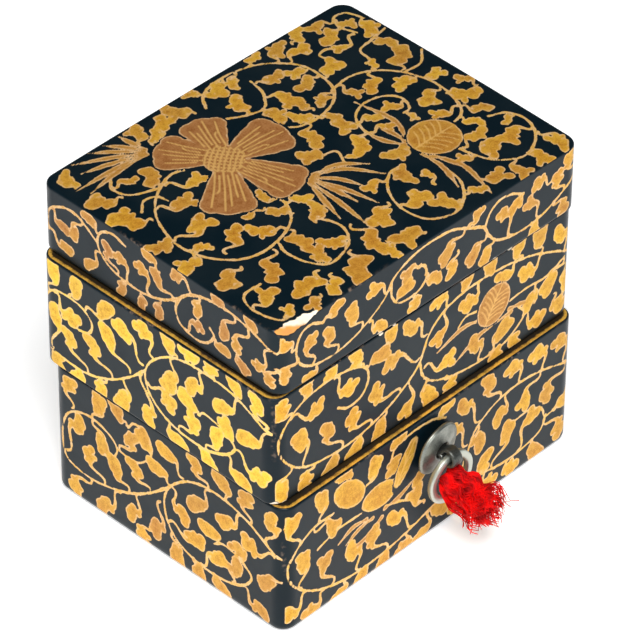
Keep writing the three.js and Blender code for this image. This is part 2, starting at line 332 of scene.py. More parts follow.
class ScrollPainter:
    """Works out gold distance, vein distance and tone of a face's layout at given points."""

    def __init__(self, places: Array, layout: FaceLayout, seed: int) -> None:
        """Starts with a bare ground.

        Args:
            places: Points on the face, one row each, in millimetres.
            layout: What is painted there.
            seed: Start of the small hand variations.
        """
        self.places = places
        self.layout = layout
        self.random = np.random.default_rng(seed)
        self.gold = np.full(len(places), FAR)
        self.vein = np.full(len(places), FAR)
        self.tone = np.zeros(len(places))

    def near(self, low: Array, high: Array) -> Array:
        """Indices of the points inside a box."""
        inside = np.all((self.places >= low) & (self.places <= high), axis=1)
        return np.flatnonzero(inside)

    def lay(self, index: Array, gaps: Array, tone: float) -> None:
        """Keeps the nearer of what is there and a new figure, with that figure's tone."""
        nearer = gaps < self.gold[index]
        self.gold[index[nearer]] = gaps[nearer]
        self.tone[index[nearer]] = tone

    def lay_stroke(self, stroke: Stroke) -> None:
        """Adds a brushed line or a blade."""
        for centres, radii in stroke.pieces():
            index = self.near(centres.min(axis=0) - 3, centres.max(axis=0) + 3)
            self.lay(index, nearest_disc(self.places[index], centres, radii), stroke.tone)

    def lay_vein(self, stroke: Stroke) -> None:
        """Adds a fine line that is scratched into a petal or bud."""
        for centres, radii in stroke.pieces():
            index = self.near(centres.min(axis=0) - 1, centres.max(axis=0) + 1)
            gaps = nearest_disc(self.places[index], centres, radii)
            self.vein[index] = np.minimum(self.vein[index], gaps)

    def lay_leaf(self, leaf: Leaf) -> None:
        """Adds a comma leaf."""
        index = self.near(*leaf.span())
        self.lay(index, leaf.distance(self.places[index]), leaf.tone)

    def lay_flower(self, flower: Flower) -> None:
        """Adds a flower: its petals and disc cover what lies under them, with a thin ground line."""
        index = self.near(np.array(flower.centre) - 16, np.array(flower.centre) + 16)
        spots = self.places[index]
        whole = np.linalg.norm(spots - np.array(flower.centre), axis=1) - flower.disc
        for petal in flower.petals:
            whole = np.minimum(whole, nearest_disc(spots, *flower.petal_discs(*petal)))
        self.gold[index] = np.where(whole < 0.35, FAR, self.gold[index])
        self.lay(index, whole, flower.tone)
        for stroke in flower.vein_strokes():
            self.lay_vein(stroke)

    def lay_oval(self, oval: Oval) -> None:
        """Adds a bud or broad leaf over what lies under it."""
        index = self.near(np.array(oval.centre) - 9, np.array(oval.centre) + 9)
        gaps = oval.distance(self.places[index])
        self.gold[index] = np.where(gaps < 0.3, FAR, self.gold[index])
        self.lay(index, gaps, oval.tone)
        for stroke in oval.vein_strokes():
            self.lay_vein(stroke)

    def fill_gaps(self) -> None:
        """Puts a small leaf in the widest bare place, again and again, until no wide place is left."""
        for _ in range(90):
            widest = int(np.argmax(np.where(self.gold < FAR - 1, self.gold, 0)))
            gap = self.gold[widest]
            if gap < self.layout.fill_gap:
                break
            head = self.places[widest]
            way = turned([[1, 0]], self.random.uniform(0, 360))[0] * gap * 0.75
            size = min(1.0, 0.5 * gap / 1.4)
            tip = tuple(head + way)
            tone = self.random.uniform(0, 0.2)
            kind = self.layout.kinds[0]
            self.lay_leaf(Leaf(tuple(head), tip, size, 1.0, tone, kind, ruffle=self.layout.ruffle))

    def paint(self) -> None:
        """Lays everything of the layout, from the vines up to the flowers."""
        layout = self.layout
        for points in layout.vines:
            self.lay_stroke(Stroke(points))
        for head_x, head_y, tip_x, tip_y, *share in layout.leaves:
            size = layout.leaf_size * self.random.uniform(0.94, 1.08) * (share[0] if share else 1)
            bend = self.random.choice([-1.0, 1.0])
            tone = self.random.uniform(0, 0.36)
            kind = layout.kinds[self.random.integers(len(layout.kinds))]
            head, tip = (head_x, head_y), (tip_x, tip_y)
            self.lay_leaf(Leaf(head, tip, size, bend, tone, kind, ruffle=layout.ruffle))
        for points in layout.blades:
            self.lay_stroke(Stroke(points, 0.58, True, 0.6))
        for oval in layout.ovals:
            self.lay_oval(oval)
        for flower in layout.flowers:
            self.lay_flower(flower)
        self.fill_gaps()


# What is painted on the faces that show, each read from the middle of its face.

LOWER_LEFT = FaceLayout(
    leaf_size=1.14,
    warmth=0.36,
    dullness=0.24,
    vines=(
        ((29, 17.2), (20, 22.3), (12, 23.8), (6, 22.5), (1.5, 18.8), (-0.5, 14.5), (0.2, 9.5), (3, 6),
         (8, 4.2), (14, 4.2), (19, 6), (21.3, 9.3), (18.5, 11.8), (14.5, 12.8), (12, 11.5)),
        ((1.5, 18.8), (-3.5, 14), (-9, 10.3), (-14.5, 8.2), (-20, 7.3), (-25.5, 8.5), (-26.8, 13),
         (-26, 18),
         (-23.5, 21), (-19, 22.3), (-14.5, 21), (-12.5, 18.8), (-13.5, 16.2), (-16, 15.2)),
        ((-12.5, 18.8), (-8, 18.5), (-4.8, 20.8), (-3.5, 24), (-5, 27.2), (-8, 27.5), (-9.5, 25.6)),
    ),
    leaves=(
        (-24.5, 26.5, -24, 21.5), (-17, 26.5, -18.5, 22.3), (-9, 23, -11.8, 19),
        (-12.3, 28.2, -9.8, 26),
        (-5.6, 25.2, -4, 23), (0.3, 25.6, 4.4, 22.3), (-22.6, 18.2, -25.6, 10.5),
        (-16.4, 17.6, -18.6, 22),
        (-2.2, 20.5, 1.2, 18.7), (-19.6, 12.8, -16, 8), (-13, 14, -9.6, 10.3), (-7.8, 16.8, -4, 13.6),
        (-8.8, 6, -6.8, 11.4), (-2.6, 6.2, -1.6, 13), (-23.5, 3, -19.4, 7.2), (-16, 3.2, -12, 8.6),
        (-6, 2, -4.4, 5), (7.8, 18.5, 11, 23.4), (15, 18.6, 19.2, 22.5), (21, 17, 27, 17.6),
        (4, 13.6, 1.4, 18.4), (7, 9.4, 0.6, 9.6), (12.9, 8.4, 8.6, 4.6), (17.4, 9, 16.6, 5.2),
        (11, 13.8, 13.6, 12.6), (18, 13.6, 19.6, 11.4), (25, 10.6, 29, 13), (23.4, 3, 19, 6),
        (13.4, 2, 11.8, 4.2), (8, 1.6, 6.8, 4.6), (2.5, 2.5, 1.5, 7.4), (7.5, 27.4, 10.6, 23.8),
        (14, 27.3, 15.6, 23.6), (20, 26.8, 21, 22), (26, 25.3, 25.4, 19.6),
    ),
)

UPPER_LEFT = FaceLayout(
    leaf_size=1.14,
    warmth=0.85,
    vines=(
        ((29, 16), (20, 20.3), (12, 21.2), (5, 20.2), (0, 17), (-2.5, 13), (-2, 9), (0.6, 6), (5, 4),
         (12, 3.6), (17, 5.4), (19.6, 8.3), (17, 10.6), (12.4, 11.8), (10.6, 10.6)),
        ((-2.5, 13), (-6, 9.4), (-10, 6.3), (-15, 3.8), (-20, 2.8), (-27, 3.4)),
        ((-29, 14), (-26, 17.5), (-22, 18.3), (-18, 17.6), (-16, 15.4), (-16.8, 13), (-19.5, 12.1)),
    ),
    leaves=(
        (-25.8, 22, -27, 17), (-20, 21.4, -21.5, 18.3), (-12.8, 20.5, -17.5, 17.8),
        (-3, 21.6, -0.4, 17),
        (-8, 18.6, -3, 13.8), (-11.8, 14.8, -6.4, 9.8), (-15.8, 10.4, -11, 5.8),
        (-21.8, 8.6, -17.4, 3.2),
        (-25.6, 11.8, -26.2, 4), (-21.4, 14, -25.6, 17.4), (-8.4, 2.4, -7.4, 8.2),
        (-2, 2.9, -3.4, 11.6),
        (-14, 1.2, -12.8, 4.8), (-20, 0.4, -19, 2.8), (-25.2, 1.2, -26.4, 3.4), (3.6, 14, 4.6, 20),
        (9.4, 16.6, 12, 21), (16.8, 16.2, 21.2, 19.8), (23, 12.6, 28, 16.3), (3, 9.2, -1.9, 10.6),
        (9, 7.8, 5.8, 4.2), (15, 7.9, 12.6, 3.8), (8, 12.2, 11, 10.8), (17.6, 11.6, 19, 9.8),
        (25.4, 5.6, 19.8, 8.2), (21, 2, 17.4, 5.8), (13, 1.2, 10.8, 3.6), (5.4, 1.2, 2.4, 4.8),
        (3.4, 22.9, 5.6, 20.4), (8.5, 23.2, 9.8, 21), (14, 23.3, 14.6, 21), (19.6, 22.8, 20, 20.2),
        (25, 21.6, 27.2, 17),
    ),
)

LID_LEFT = FaceLayout(
    warmth=0.3,
    dullness=0.55,
    leaf_size=0.8,
    vines=(
        ((-28, 4.5), (-27.6, 9), (-24, 11.6), (-20, 11.8), (-15, 8.8)),
        ((-8, 12), (-11, 12.8), (-14, 11.6), (-15, 8.6), (-13, 5.8), (-9, 4.3), (-4, 4.2), (1, 5.5),
         (5, 8),
         (8, 10.5), (12, 12), (18, 12.5), (24, 11.3), (29, 9.3)),
        ((6.2, 9.2), (4.6, 6), (5.5, 3), (9, 1.7), (12, 2.3), (14, 4.8), (13, 6.2)),
    ),
    leaves=(
        (-24, 7.4, -26.8, 10), (-21, 7.6, -19, 11.6), (-23.2, 3, -27.6, 5), (-17, 3, -14.6, 7),
        (-12.4, 8.6, -10, 4.6),
        (-9.4, 8.4, -6.6, 4.2), (-4, 9.2, -1.6, 4.8), (0, 9.6, 4, 7), (-2, 13, 0.6, 11.2),
        (5, 12.7, 9.6, 11.2),
        (-9, 2, -8, 4.2), (-4, 1.8, -4, 4), (0.4, 2.4, 0.6, 5.2), (10, 8.6, 10.4, 11.2),
        (16.6, 7.6, 19, 12.2),
        (19.6, 6.2, 22.4, 11.2), (24.8, 5, 27.4, 9.6), (16, 3.4, 13.8, 4.4), (10, 4.8, 6.8, 2.4),
        (21, 2.4, 19, 4.8),
        (27.4, 3.2, 28.6, 6), (-17, 12.9, -14.6, 11), (15, 13.2, 17, 12.4), (23, 13, 24, 11.4),
    ),
)

LOWER_FRONT = FaceLayout(
    leaf_size=1.14,
    kinds=FRONT_KINDS,
    warmth=0.4,
    dullness=0.15,
    vines=(
        ((-25.5, 21.6), (-30.5, 21.4), (-34.6, 19), (-36.6, 15.4), (-36, 11.6), (-33, 8.2),
         (-28, 5.2), (-21, 3.5),
         (-13, 3.5), (-5.5, 4.8), (1, 6.8)),
        ((-29.4, 15.6), (-24.6, 17), (-18, 17)),
        ((-10.8, 24.4), (-9.6, 27), (-5, 28), (0, 27.6), (3.4, 26)),
        ((-12, 14.6), (-7, 12.8), (-2, 9.4)),
        ((9.4, 13.4), (11.6, 18), (16.5, 21), (22, 22), (28.5, 21.4), (37, 18.8)),
        ((37, 12.4), (33, 9.6), (30.6, 9.4), (29.6, 11.8), (26.4, 13.6), (22, 13.4)),
        ((30.8, 9.6), (29.4, 6.6), (24.4, 5.2), (18.6, 5.1), (12.4, 6.4)),
    ),
    leaves=(
        (-35.6, 25, -34.2, 19.4), (-28.4, 26.4, -28.6, 21.6), (-22.5, 28.4, -21.4, 26),
        (-15, 25.8, -17.4, 21.4),
        (-26, 18.6, -30.4, 21), (-33, 14.8, -33.6, 9), (-27.4, 10.8, -25.4, 4.8),
        (-20.4, 9, -18.4, 3.6),
        (-15, 9.4, -11.4, 3.8), (-9.4, 10, -4.4, 5.2), (-36.4, 4.4, -32, 7.4), (-31, 1.8, -27.6, 4.8),
        (-23.4, 1.2, -22, 3.6), (-18, 1.4, -16.8, 3.5), (-12.4, 1.4, -11.6, 3.6), (-7, 1.6, -6, 4.6),
        (-2, 1.8, 0, 6.2), (-8.6, 28.4, -7, 27.6), (-10.2, 23.2, -10.6, 25), (-3.4, 15.6, -6.6, 12.8),
        (-3.8, 11.8, -1.8, 8.8), (3.3, 28.2, 2.4, 26.6), (8.4, 25.2, 12.6, 19.4), (15, 26.8, 18, 21.6),
        (21.4, 26.4, 24, 22), (28, 25.8, 30.2, 21), (34, 25, 36, 19.4), (18, 17.4, 20.2, 21.7),
        (25, 17, 28.8, 21.2),
        (31, 15, 35.8, 18.8), (12.6, 14.6, 12, 18.4), (20.2, 11.8, 16.4, 5.6), (26.6, 11.4, 23.2, 5.4),
        (14.2, 8.6, 12.6, 6.6), (15.6, 3, 13.6, 6), (21.4, 2.8, 20, 5), (28, 2.4, 26.8, 5.6),
        (34.4, 4, 30.4, 8.6),
        (36.4, 10.2, 32.6, 9.6), (2.4, 5, 0, 6.4), (5.6, 21, 9.4, 15.6), (7, 9.4, 9.6, 12.6),
        (7, 2.6, 10, 6),
    ),
    blades=(
        ((-15.4, 13.9), (-18.8, 13.5), (-22.2, 11.8)), ((-12.9, 12.6), (-16.6, 10.4), (-19, 9.9),
         (-22.1, 10.6)),
        ((-12.2, 14.2), (-8.6, 14.6), (-4.6, 16.4)), ((-17, 14.6), (-20.4, 14.9), (-24.2, 13.2)),
    ),
    ovals=(
        Oval((-21.4, 23.6), 4.7, 2.9, -40, 0.12, 0),
        Oval((-13.6, 18.2), 4.6, 2.9, -6, 0.12, 0),
        Oval((-6.9, 21.8), 5.3, 1.75, 61, 0.1, 2),
    ),
)

UPPER_FRONT = FaceLayout(
    leaf_size=1.14,
    kinds=FRONT_KINDS,
    warmth=0.42,
    dullness=0.12,
    vines=(
        ((-22.6, 13.8), (-20, 12.3), (-16.6, 13), (-15, 16), (-16, 19), (-20, 20.9), (-26, 21.5),
         (-32, 20.3),
         (-36, 17), (-37, 12.5), (-35, 8.5), (-31, 5.3), (-25, 3.9), (-18, 3.8), (-11, 5.5), (-6, 8),
         (-2.4, 10.8),
         (-1, 13.5), (0.4, 16.6), (4, 19.7), (10, 21.2), (18, 21), (26, 19.4), (32, 17), (38, 13.8)),
        ((-1.8, 11.4), (-1, 8), (2, 5), (8, 3), (14, 2.2), (20, 2.5), (24, 4.6), (25.6, 6.6), (24, 9)),
        ((21, 11.8), (26, 12.2), (31, 11.8), (36, 13.6)),
        ((13.4, 14.4), (10, 15), (8, 13.6)),
    ),
    leaves=(
        (-36.2, 21.4, -34, 19), (-30.5, 22.8, -30.8, 20.8), (-24.4, 23.4, -23.8, 21.4),
        (-18, 22.4, -16.4, 19.4),
        (-9.4, 22.9, -9, 21), (-28.2, 17, -34.2, 18.4), (-20, 16.9, -23.6, 21), (-12, 19.4, -15.6, 19),
        (-4.2, 20.8, -0.2, 17), (2.8, 22.9, 5.6, 20.4), (-9, 15.9, -2, 12.6), (-12.6, 11, -6.6, 7.6),
        (-25, 9.8, -21.4, 3.9), (-18.6, 8.8, -14, 4.6), (-31.8, 11.8, -30.4, 5), (-36.4, 3, -34.2, 7.6),
        (-30.4, 1.8, -28.4, 4.4), (-24, 1.2, -23, 3.8), (-18, 1.3, -16.6, 3.8),
        (-11.9, 1.9, -10.4, 5.6),
        (-5, 3, -3.8, 9.6), (0.6, 2.4, -0.6, 7), (6, 1.2, 5.2, 4), (18, 0.8, 17, 2.3),
        (23, 1.4, 22, 3.2),
        (29, 3.2, 25.4, 6.4), (3, 14.8, 5.2, 20.2), (10.6, 18, 14, 21.2), (20, 18.5, 23, 20),
        (26, 16, 30.4, 17.6),
        (32, 9.8, 36, 13.2), (5, 7.8, -0.6, 9.6), (19.8, 6, 16.6, 2.6), (12.6, 6.8, 14.4, 2.4),
        (35, 3.4, 33.6, 6.4),
        (34.6, 19.4, 37, 14.6), (23.5, 22.8, 24.4, 20), (29, 22.4, 29.6, 18.4), (16, 23.1, 16.4, 21.2),
        (10, 23.1, 10.4, 21.2), (27, 8.6, 29, 11.8), (37, 7.4, 36, 12),
    ),
    blades=(
        ((13.6, 12), (9, 12.8), (2.6, 11)),
        ((22, 9), (14, 8.6), (7, 5.6)),
        ((21.4, 10), (25, 9.2), (28.4, 7.2)),
    ),
    ovals=(Oval((17.3, 13.4), 4.5, 4.2, 60, 0.7, 6),),
)

LID_FRONT = FaceLayout(
    kinds=FRONT_KINDS,
    warmth=0.34,
    dullness=0.28,
    leaf_size=0.96,
    vines=(
        ((-27, 11), (-30, 12.3), (-32.5, 11.5), (-33.5, 8), (-32, 4.5), (-28, 2.6), (-22, 2.6),
         (-16.5, 4.5),
         (-12, 7.5), (-9.5, 10.8), (-5, 12.8), (0, 13.3), (5, 12.8), (10, 10.5), (13, 9), (14.4, 6.4),
         (17, 4),
         (22, 2.8), (28, 3.3), (33, 5.5), (37.4, 8.2)),
        ((13.2, 8.8), (14.5, 11.5), (17, 12.8), (20, 12.4), (23, 10.8)),
        ((-10.4, 9.4), (-10, 6.5), (-8, 4.3), (-4, 4.2), (-1.6, 6), (-2, 9), (-4.5, 10)),
    ),
    leaves=(
        (-36, 10.6, -34, 9), (-36, 4.4, -33, 6.4), (-30, 8.4, -29.4, 3.4), (-25.4, 7.2, -23.4, 2.8),
        (-19.8, 8.6, -17.4, 4.4), (-14.2, 10.6, -11, 8.6), (-6, 9.6, -3, 9.8), (-6.8, 6.8, -9.4, 5.4),
        (0.6, 5, -1.8, 7),
        (3.6, 8.4, 8, 11.4), (10.4, 4.4, 13.6, 7), (13.6, 2.2, 15.6, 5), (18, 9, 20.4, 3.2),
        (21, 9.4, 23, 11),
        (25, 7.4, 27.6, 3.4), (27, 11, 30, 9.6), (32, 9.4, 33.6, 6), (35, 12, 36.6, 9),
        (-13, 2, -15.6, 4.4),
        (-24, 12.4, -26.6, 11.4), (-4.4, 2, -4.6, 4.2), (5, 4.4, 6.4, 7.6), (26, 1.2, 25.4, 3),
        (33.4, 2, 31, 4.6),
        (-30, 0.9, -28, 2.6), (11, 12.8, 9, 11.2),
    ),
)

LID_TOP = FaceLayout(
    warmth=0.2,
    ruffle=0.9,
    kinds=TOP_KINDS,
    vines=(
        ((-17.9, 13.6), (-20.6, 14.3), (-24, 13.2), (-28, 10.6), (-31.2, 6.4), (-33.2, 0),
         (-32.2, -6), (-28.4, -10.8),
         (-23.2, -12.2), (-16.8, -10.8), (-13, -7.6), (-11.4, -2.9)),
        ((-24.6, 13), (-29.4, 15.2), (-30.6, 18.6), (-29, 20.8)),
        ((-31.4, 10.4), (-29, 12.4), (-26.6, 11.6), (-26, 9.4)),
        ((-20.4, -12), (-21.4, -15), (-20.7, -19.3), (-18.2, -22.4), (-14.4, -22), (-11.2, -20.2),
         (-9.6, -17.2),
         (-10, -14.4), (-11.4, -12.2)),
        ((-3, 23.6), (-1, 26.4), (2.5, 27.9), (7.5, 27.9), (12.5, 26.4), (16, 23.6), (18.2, 20),
         (18.3, 15.7),
         (17.1, 11.5), (13.9, 8.7), (9.6, 7.5), (5.4, 7.9), (3.2, 9.4)),
        ((-2.9, 18.9), (1.1, 16.8), (4.6, 16.4), (7.5, 20), (8.2, 23.6)),
        ((17.1, 11.6), (21.8, 12.1), (26.1, 10.4), (29.6, 6.4), (31.4, 0.7), (30.8, -5), (28.6, -9.2),
         (24.6, -10.4)),
        ((12.4, -3.4), (12.5, 0), (14.3, 3.2), (17.9, 4.7), (21.8, 3.9), (23.9, 1.4), (22.9, -1.8),
         (21, -2.2)),
        ((10.4, -12.5), (6.8, -12.5), (3.2, -15.7), (1.4, -20.7), (2.5, -25.7), (6.8, -27.9),
         (11.1, -26.4),
         (14.3, -22.5), (15, -18)),
        ((20.6, -15), (21.4, -19.3), (23.2, -22.9), (27.5, -25.4), (32.5, -23.6), (35.4, -19.3),
         (34.6, -15),
         (31.2, -13.2)),
        ((32.4, 20.6), (31.3, 24.2), (32.6, 26.8), (35.3, 26.4), (36.6, 22.8)),
        ((28.2, 13.4), (28.9, 16.4), (32.5, 17.2), (37, 18)),
        ((30, 6.1), (33.9, 6.1), (37, 8.8)),
        ((-30.4, -17.9), (-34.4, -18), (-36, -21), (-35.6, -24.6), (-34.2, -27.2), (-31.4, -27)),
        ((-0.4, -0.6), (2.8, -0.8), (4.6, -1.8), (3.4, -4.6)),
        ((23.4, 17.6), (22.4, 20.4), (25, 20.8), (26.4, 18.6)),
    ),
    leaves=(
        (-34.2, 26.2, -34.8, 23.6, 1.2), (-34.2, 17.4, -31, 15.8, 1.35),
        (-34.4, 10.4, -31.6, 7.4, 1.65),
        (-35.4, 1.4, -33.2, 1.2, 1.3), (-35.4, -5.6, -32.6, -4.4, 1.35),
        (-33.4, -13.2, -29.6, -12.4, 1.35),
        (-32.2, -21, -35.6, -21.4, 1.25), (-26.4, -16.8, -22.4, -13, 1.5),
        (-32, -26.2, -33.6, -27, 0.8),
        (-27.4, -28, -25, -27, 0.9), (-25, -23.6, -20.8, -22.4, 1.55), (-21.8, -27, -19.8, -24.4, 1.05),
        (-15.6, -26.6, -13, -22.4, 1.75), (-8.6, -23.4, -8.2, -17.6, 1.55), (-8, -27.6, -7, -25, 0.95),
        (-2.8, -26.8, -0.2, -28, 1.5), (-2.8, -19.8, 0.8, -18, 1.4), (-9.8, -10.8, -12, -13, 1.2),
        (-17.4, -15, -16.6, -11.4, 1.35), (-13.6, -18.8, -11.2, -20.2, 1.1),
        (-17.6, -19.6, -18.4, -22, 1.1),
        (-26.8, 0.8, -32.8, 0.6, 1.35), (-30.6, -4, -32.6, -3, 0.75), (-24.6, -5.4, -29, -8, 1.25),
        (-20.4, -7.8, -17, -10.4, 1.2), (-14.6, -6.4, -13.2, -8.4, 0.95),
        (-9.4, -6.6, -11.8, -5.4, 0.95),
        (-18.8, -3.6, -15.6, -4, 0.7), (-13.6, -1.4, -12, -4.4, 0.95), (-24.4, 7.2, -29, 9.2, 1.4),
        (-18.8, 10.2, -23.4, 12.8, 1.15), (-27, 18.2, -30.2, 19, 0.85), (-23.4, 16.2, -24.2, 13.4, 1.3),
        (-16.6, 27, -18.4, 24.6, 1.25), (-15, 24.2, -17, 22.8, 0.85), (-11.4, 25.8, -14, 23.4, 1.3),
        (-7.4, 26.6, -5.4, 24, 1.35), (-2, 28.4, -0.6, 27, 0.75), (2.4, 26, 5, 27.8, 1.2),
        (5.6, 25.4, 8, 27.6, 0.8),
        (2, 20.4, 1.2, 17.2, 1.15), (9, 15.4, 7, 19, 1.3), (9.8, 12.4, 10.2, 9.6, 0.9),
        (4.2, 13.2, 4.2, 16.4, 1.2),
        (14.8, 16, 18, 16.4, 1.2), (13.4, 10.6, 16.6, 11.4, 0.95), (7, 9.8, 9.4, 7.6, 1.05),
        (11.2, 5.8, 9.4, 7.4, 0.75),
        (10.8, 2.8, 11.6, 6.6, 1.3), (4.4, 4, 6.6, 7.6, 1.4), (0.4, 0.6, 2.6, -0.8, 1.2),
        (5.4, -4.4, 5.2, -4, 0.5),
        (9, -3.4, 12.2, -1, 1.4), (12, -9.4, 14.8, -9.8, 1.3), (2.2, -12.8, 5, -13.4, 1.05),
        (8.4, -14.4, 9, -12.6, 1.3),
        (5, -20.8, 1.6, -20.2, 1.5), (11.4, -17.4, 10.4, -20.2, 0.75), (8.4, -25, 10.6, -26.6, 1.3),
        (14.8, -26.4, 12.4, -25.6, 0.85), (20, -26, 16.8, -25, 1.2), (24.2, -27.6, 25.6, -24.6, 1.2),
        (29.6, -27.6, 28.6, -25.2, 1.3), (35, -26.6, 34.4, -22.4, 1.2), (19.4, -18.6, 21.2, -19.6, 0.8),
        (25.4, -19.8, 22.6, -21.6, 1.35), (30.4, -19.8, 34.8, -20.6, 1.3), (33, -16.4, 34.8, -16, 0.75),
        (25.6, -15.6, 21.4, -16.4, 1.25), (32.2, -10.6, 29.8, -8, 0.95), (28.4, -12.4, 27.2, -10, 0.9),
        (33, -5.8, 30.8, -3.4, 1.3), (25.4, -6.8, 29.4, -7.6, 0.95), (27.6, -2.2, 31, -1.6, 1.3),
        (33.6, 2, 31.2, 2.4, 1.05), (36, -2.6, 36.6, -5.6, 0.9), (27.4, 4, 30.6, 4, 1.1),
        (33, 10, 30, 6.8, 1.5),
        (27.4, 11.8, 26.4, 10.6, 0.7), (22.8, 7.6, 25.4, 10.4, 1.2), (19, 8.2, 18.6, 11.6, 0.9),
        (21.6, 16.4, 18.4, 15, 1.3), (28, 23, 31.2, 24, 1.3), (27, 19.4, 31.6, 20.6, 0.8),
        (33, 24, 32, 26.4, 0.9),
        (35, 20.2, 36, 23, 1.15), (34.2, 15, 33.6, 17.2, 1.1), (18.4, 27, 15.4, 24.4, 1.2),
        (13.6, 28.2, 11.4, 27.2, 0.9),
        (24, 28, 21.6, 26.4, 1.1), (28.6, 27, 31.6, 26, 1.1), (12, 21.6, 8.4, 22.4, 1.05),
        (15.8, 19.6, 18, 19, 0.95),
        (21, 24, 16.6, 22.8, 1.15), (16, 0.6, 13.2, 1.8, 0.95), (16, -2.8, 12.8, -2, 0.85),
        (21, 0.6, 23.6, 0, 0.9),
        (21.4, -4.2, 21.6, -2.4, 0.6),
    ),
    blades=(
        ((-19.6, 21.6), (-27, 21.6), (-33.8, 20.6)), ((-19.6, 21.8), (-27, 22.6), (-35.4, 22.8)),
        ((-20, 22), (-26, 24.2), (-31.4, 25.8)), ((-20, 22.2), (-25, 25.6), (-30.8, 28.8)),
        ((-19.4, 22.4), (-23, 26.2), (-26.6, 29.2)), ((-19, 22.8), (-21, 26), (-23.2, 28.9)),
        ((-18.8, 22.8), (-19.2, 26), (-19.5, 28.8)),
        ((-5, -4), (-6.5, -9), (-8.3, -15.2)), ((-4.8, -4.2), (-5.2, -12), (-6, -19.4)),
        ((-4.4, -4.2), (-3.4, -9), (-2.8, -14)), ((-4.2, -4), (-2, -10), (-0.4, -17)),
        ((-3.8, -3.8), (-0.8, -7.2), (1, -11.4)), ((-3.4, -3.6), (2, -6), (6.2, -12)),
        ((-3, -3.4), (2, -4.4), (6.2, -8.2)),
        ((15, -9.3), (18.2, -2.6), (17, 6.2)), ((14.8, -9), (12.8, -5.4), (12.1, -1.8)),
        ((15.2, -8.4), (15.4, -5), (14.6, -1.8)), ((15, -12.6), (14.8, -18), (12.8, -23.4)),
        ((15.6, -14), (17.8, -20), (15.8, -28.6)), ((15.6, -13.6), (16.8, -16.6), (17.4, -20)),
    ),
    ovals=(Oval((20, -10.8), 5.1, 4.9, 0, 0.42, 5),),
    flowers=(
        Flower((-11, 10.8), ((124, 12.8, 8.8), (68, 12.6, 7.8), (-5, 14, 9.4), (-74, 15.8, 8.8),
         (229, 15.6, 9))),
    ),
)


def running_scroll(length: float, height: float) -> FaceLayout:
    """A plainer scroll for a face that is turned away: one wave with a leaf at each quarter turn.

    Args:
        length: The face's length.
        height: Its height.

    Returns:
        The layout, in the manner of the faces that show.
    """
    along = np.linspace(-length / 2 + 1, length / 2 - 1, 25)
    pitch = 1.15 * height
    wave = 0.5 * height + 0.3 * height * np.sin(2 * np.pi * along / pitch)
    vine = tuple(zip(along.tolist(), wave.tolist()))
    leaves = []
    for k, x in enumerate(np.arange(-length / 2 + 3.5, length / 2 - 3, 5.2)):
        on_vine = 0.5 * height + 0.3 * height * np.sin(2 * np.pi * x / pitch)
        way = 1 if k % 2 else -1
        leaves.append((x - 1.5, np.clip(on_vine + 5.4 * way, 1.6, height - 1.6), x + 1.2, on_vine))
    return FaceLayout((vine,), tuple(leaves), warmth=0.5, leaf_size=0.95, fill_gap=2.7)


# Skins of the tiers.


@dataclass(frozen=True)
class Seat:
    """How a tier sits: its shift, its turn in degrees about Z, and the height of its base."""

    x: float = 0.0
    y: float = 0.0
    turn: float = 0.0
    z: float = 0.0

    def place(self, places: Array) -> Array:
        """Turns and shifts points from the tier's own frame into the box's."""
        flat = turned(places[:, :2], self.turn) + np.array([self.x, self.y])
        return np.column_stack([flat, places[:, 2] + self.z])


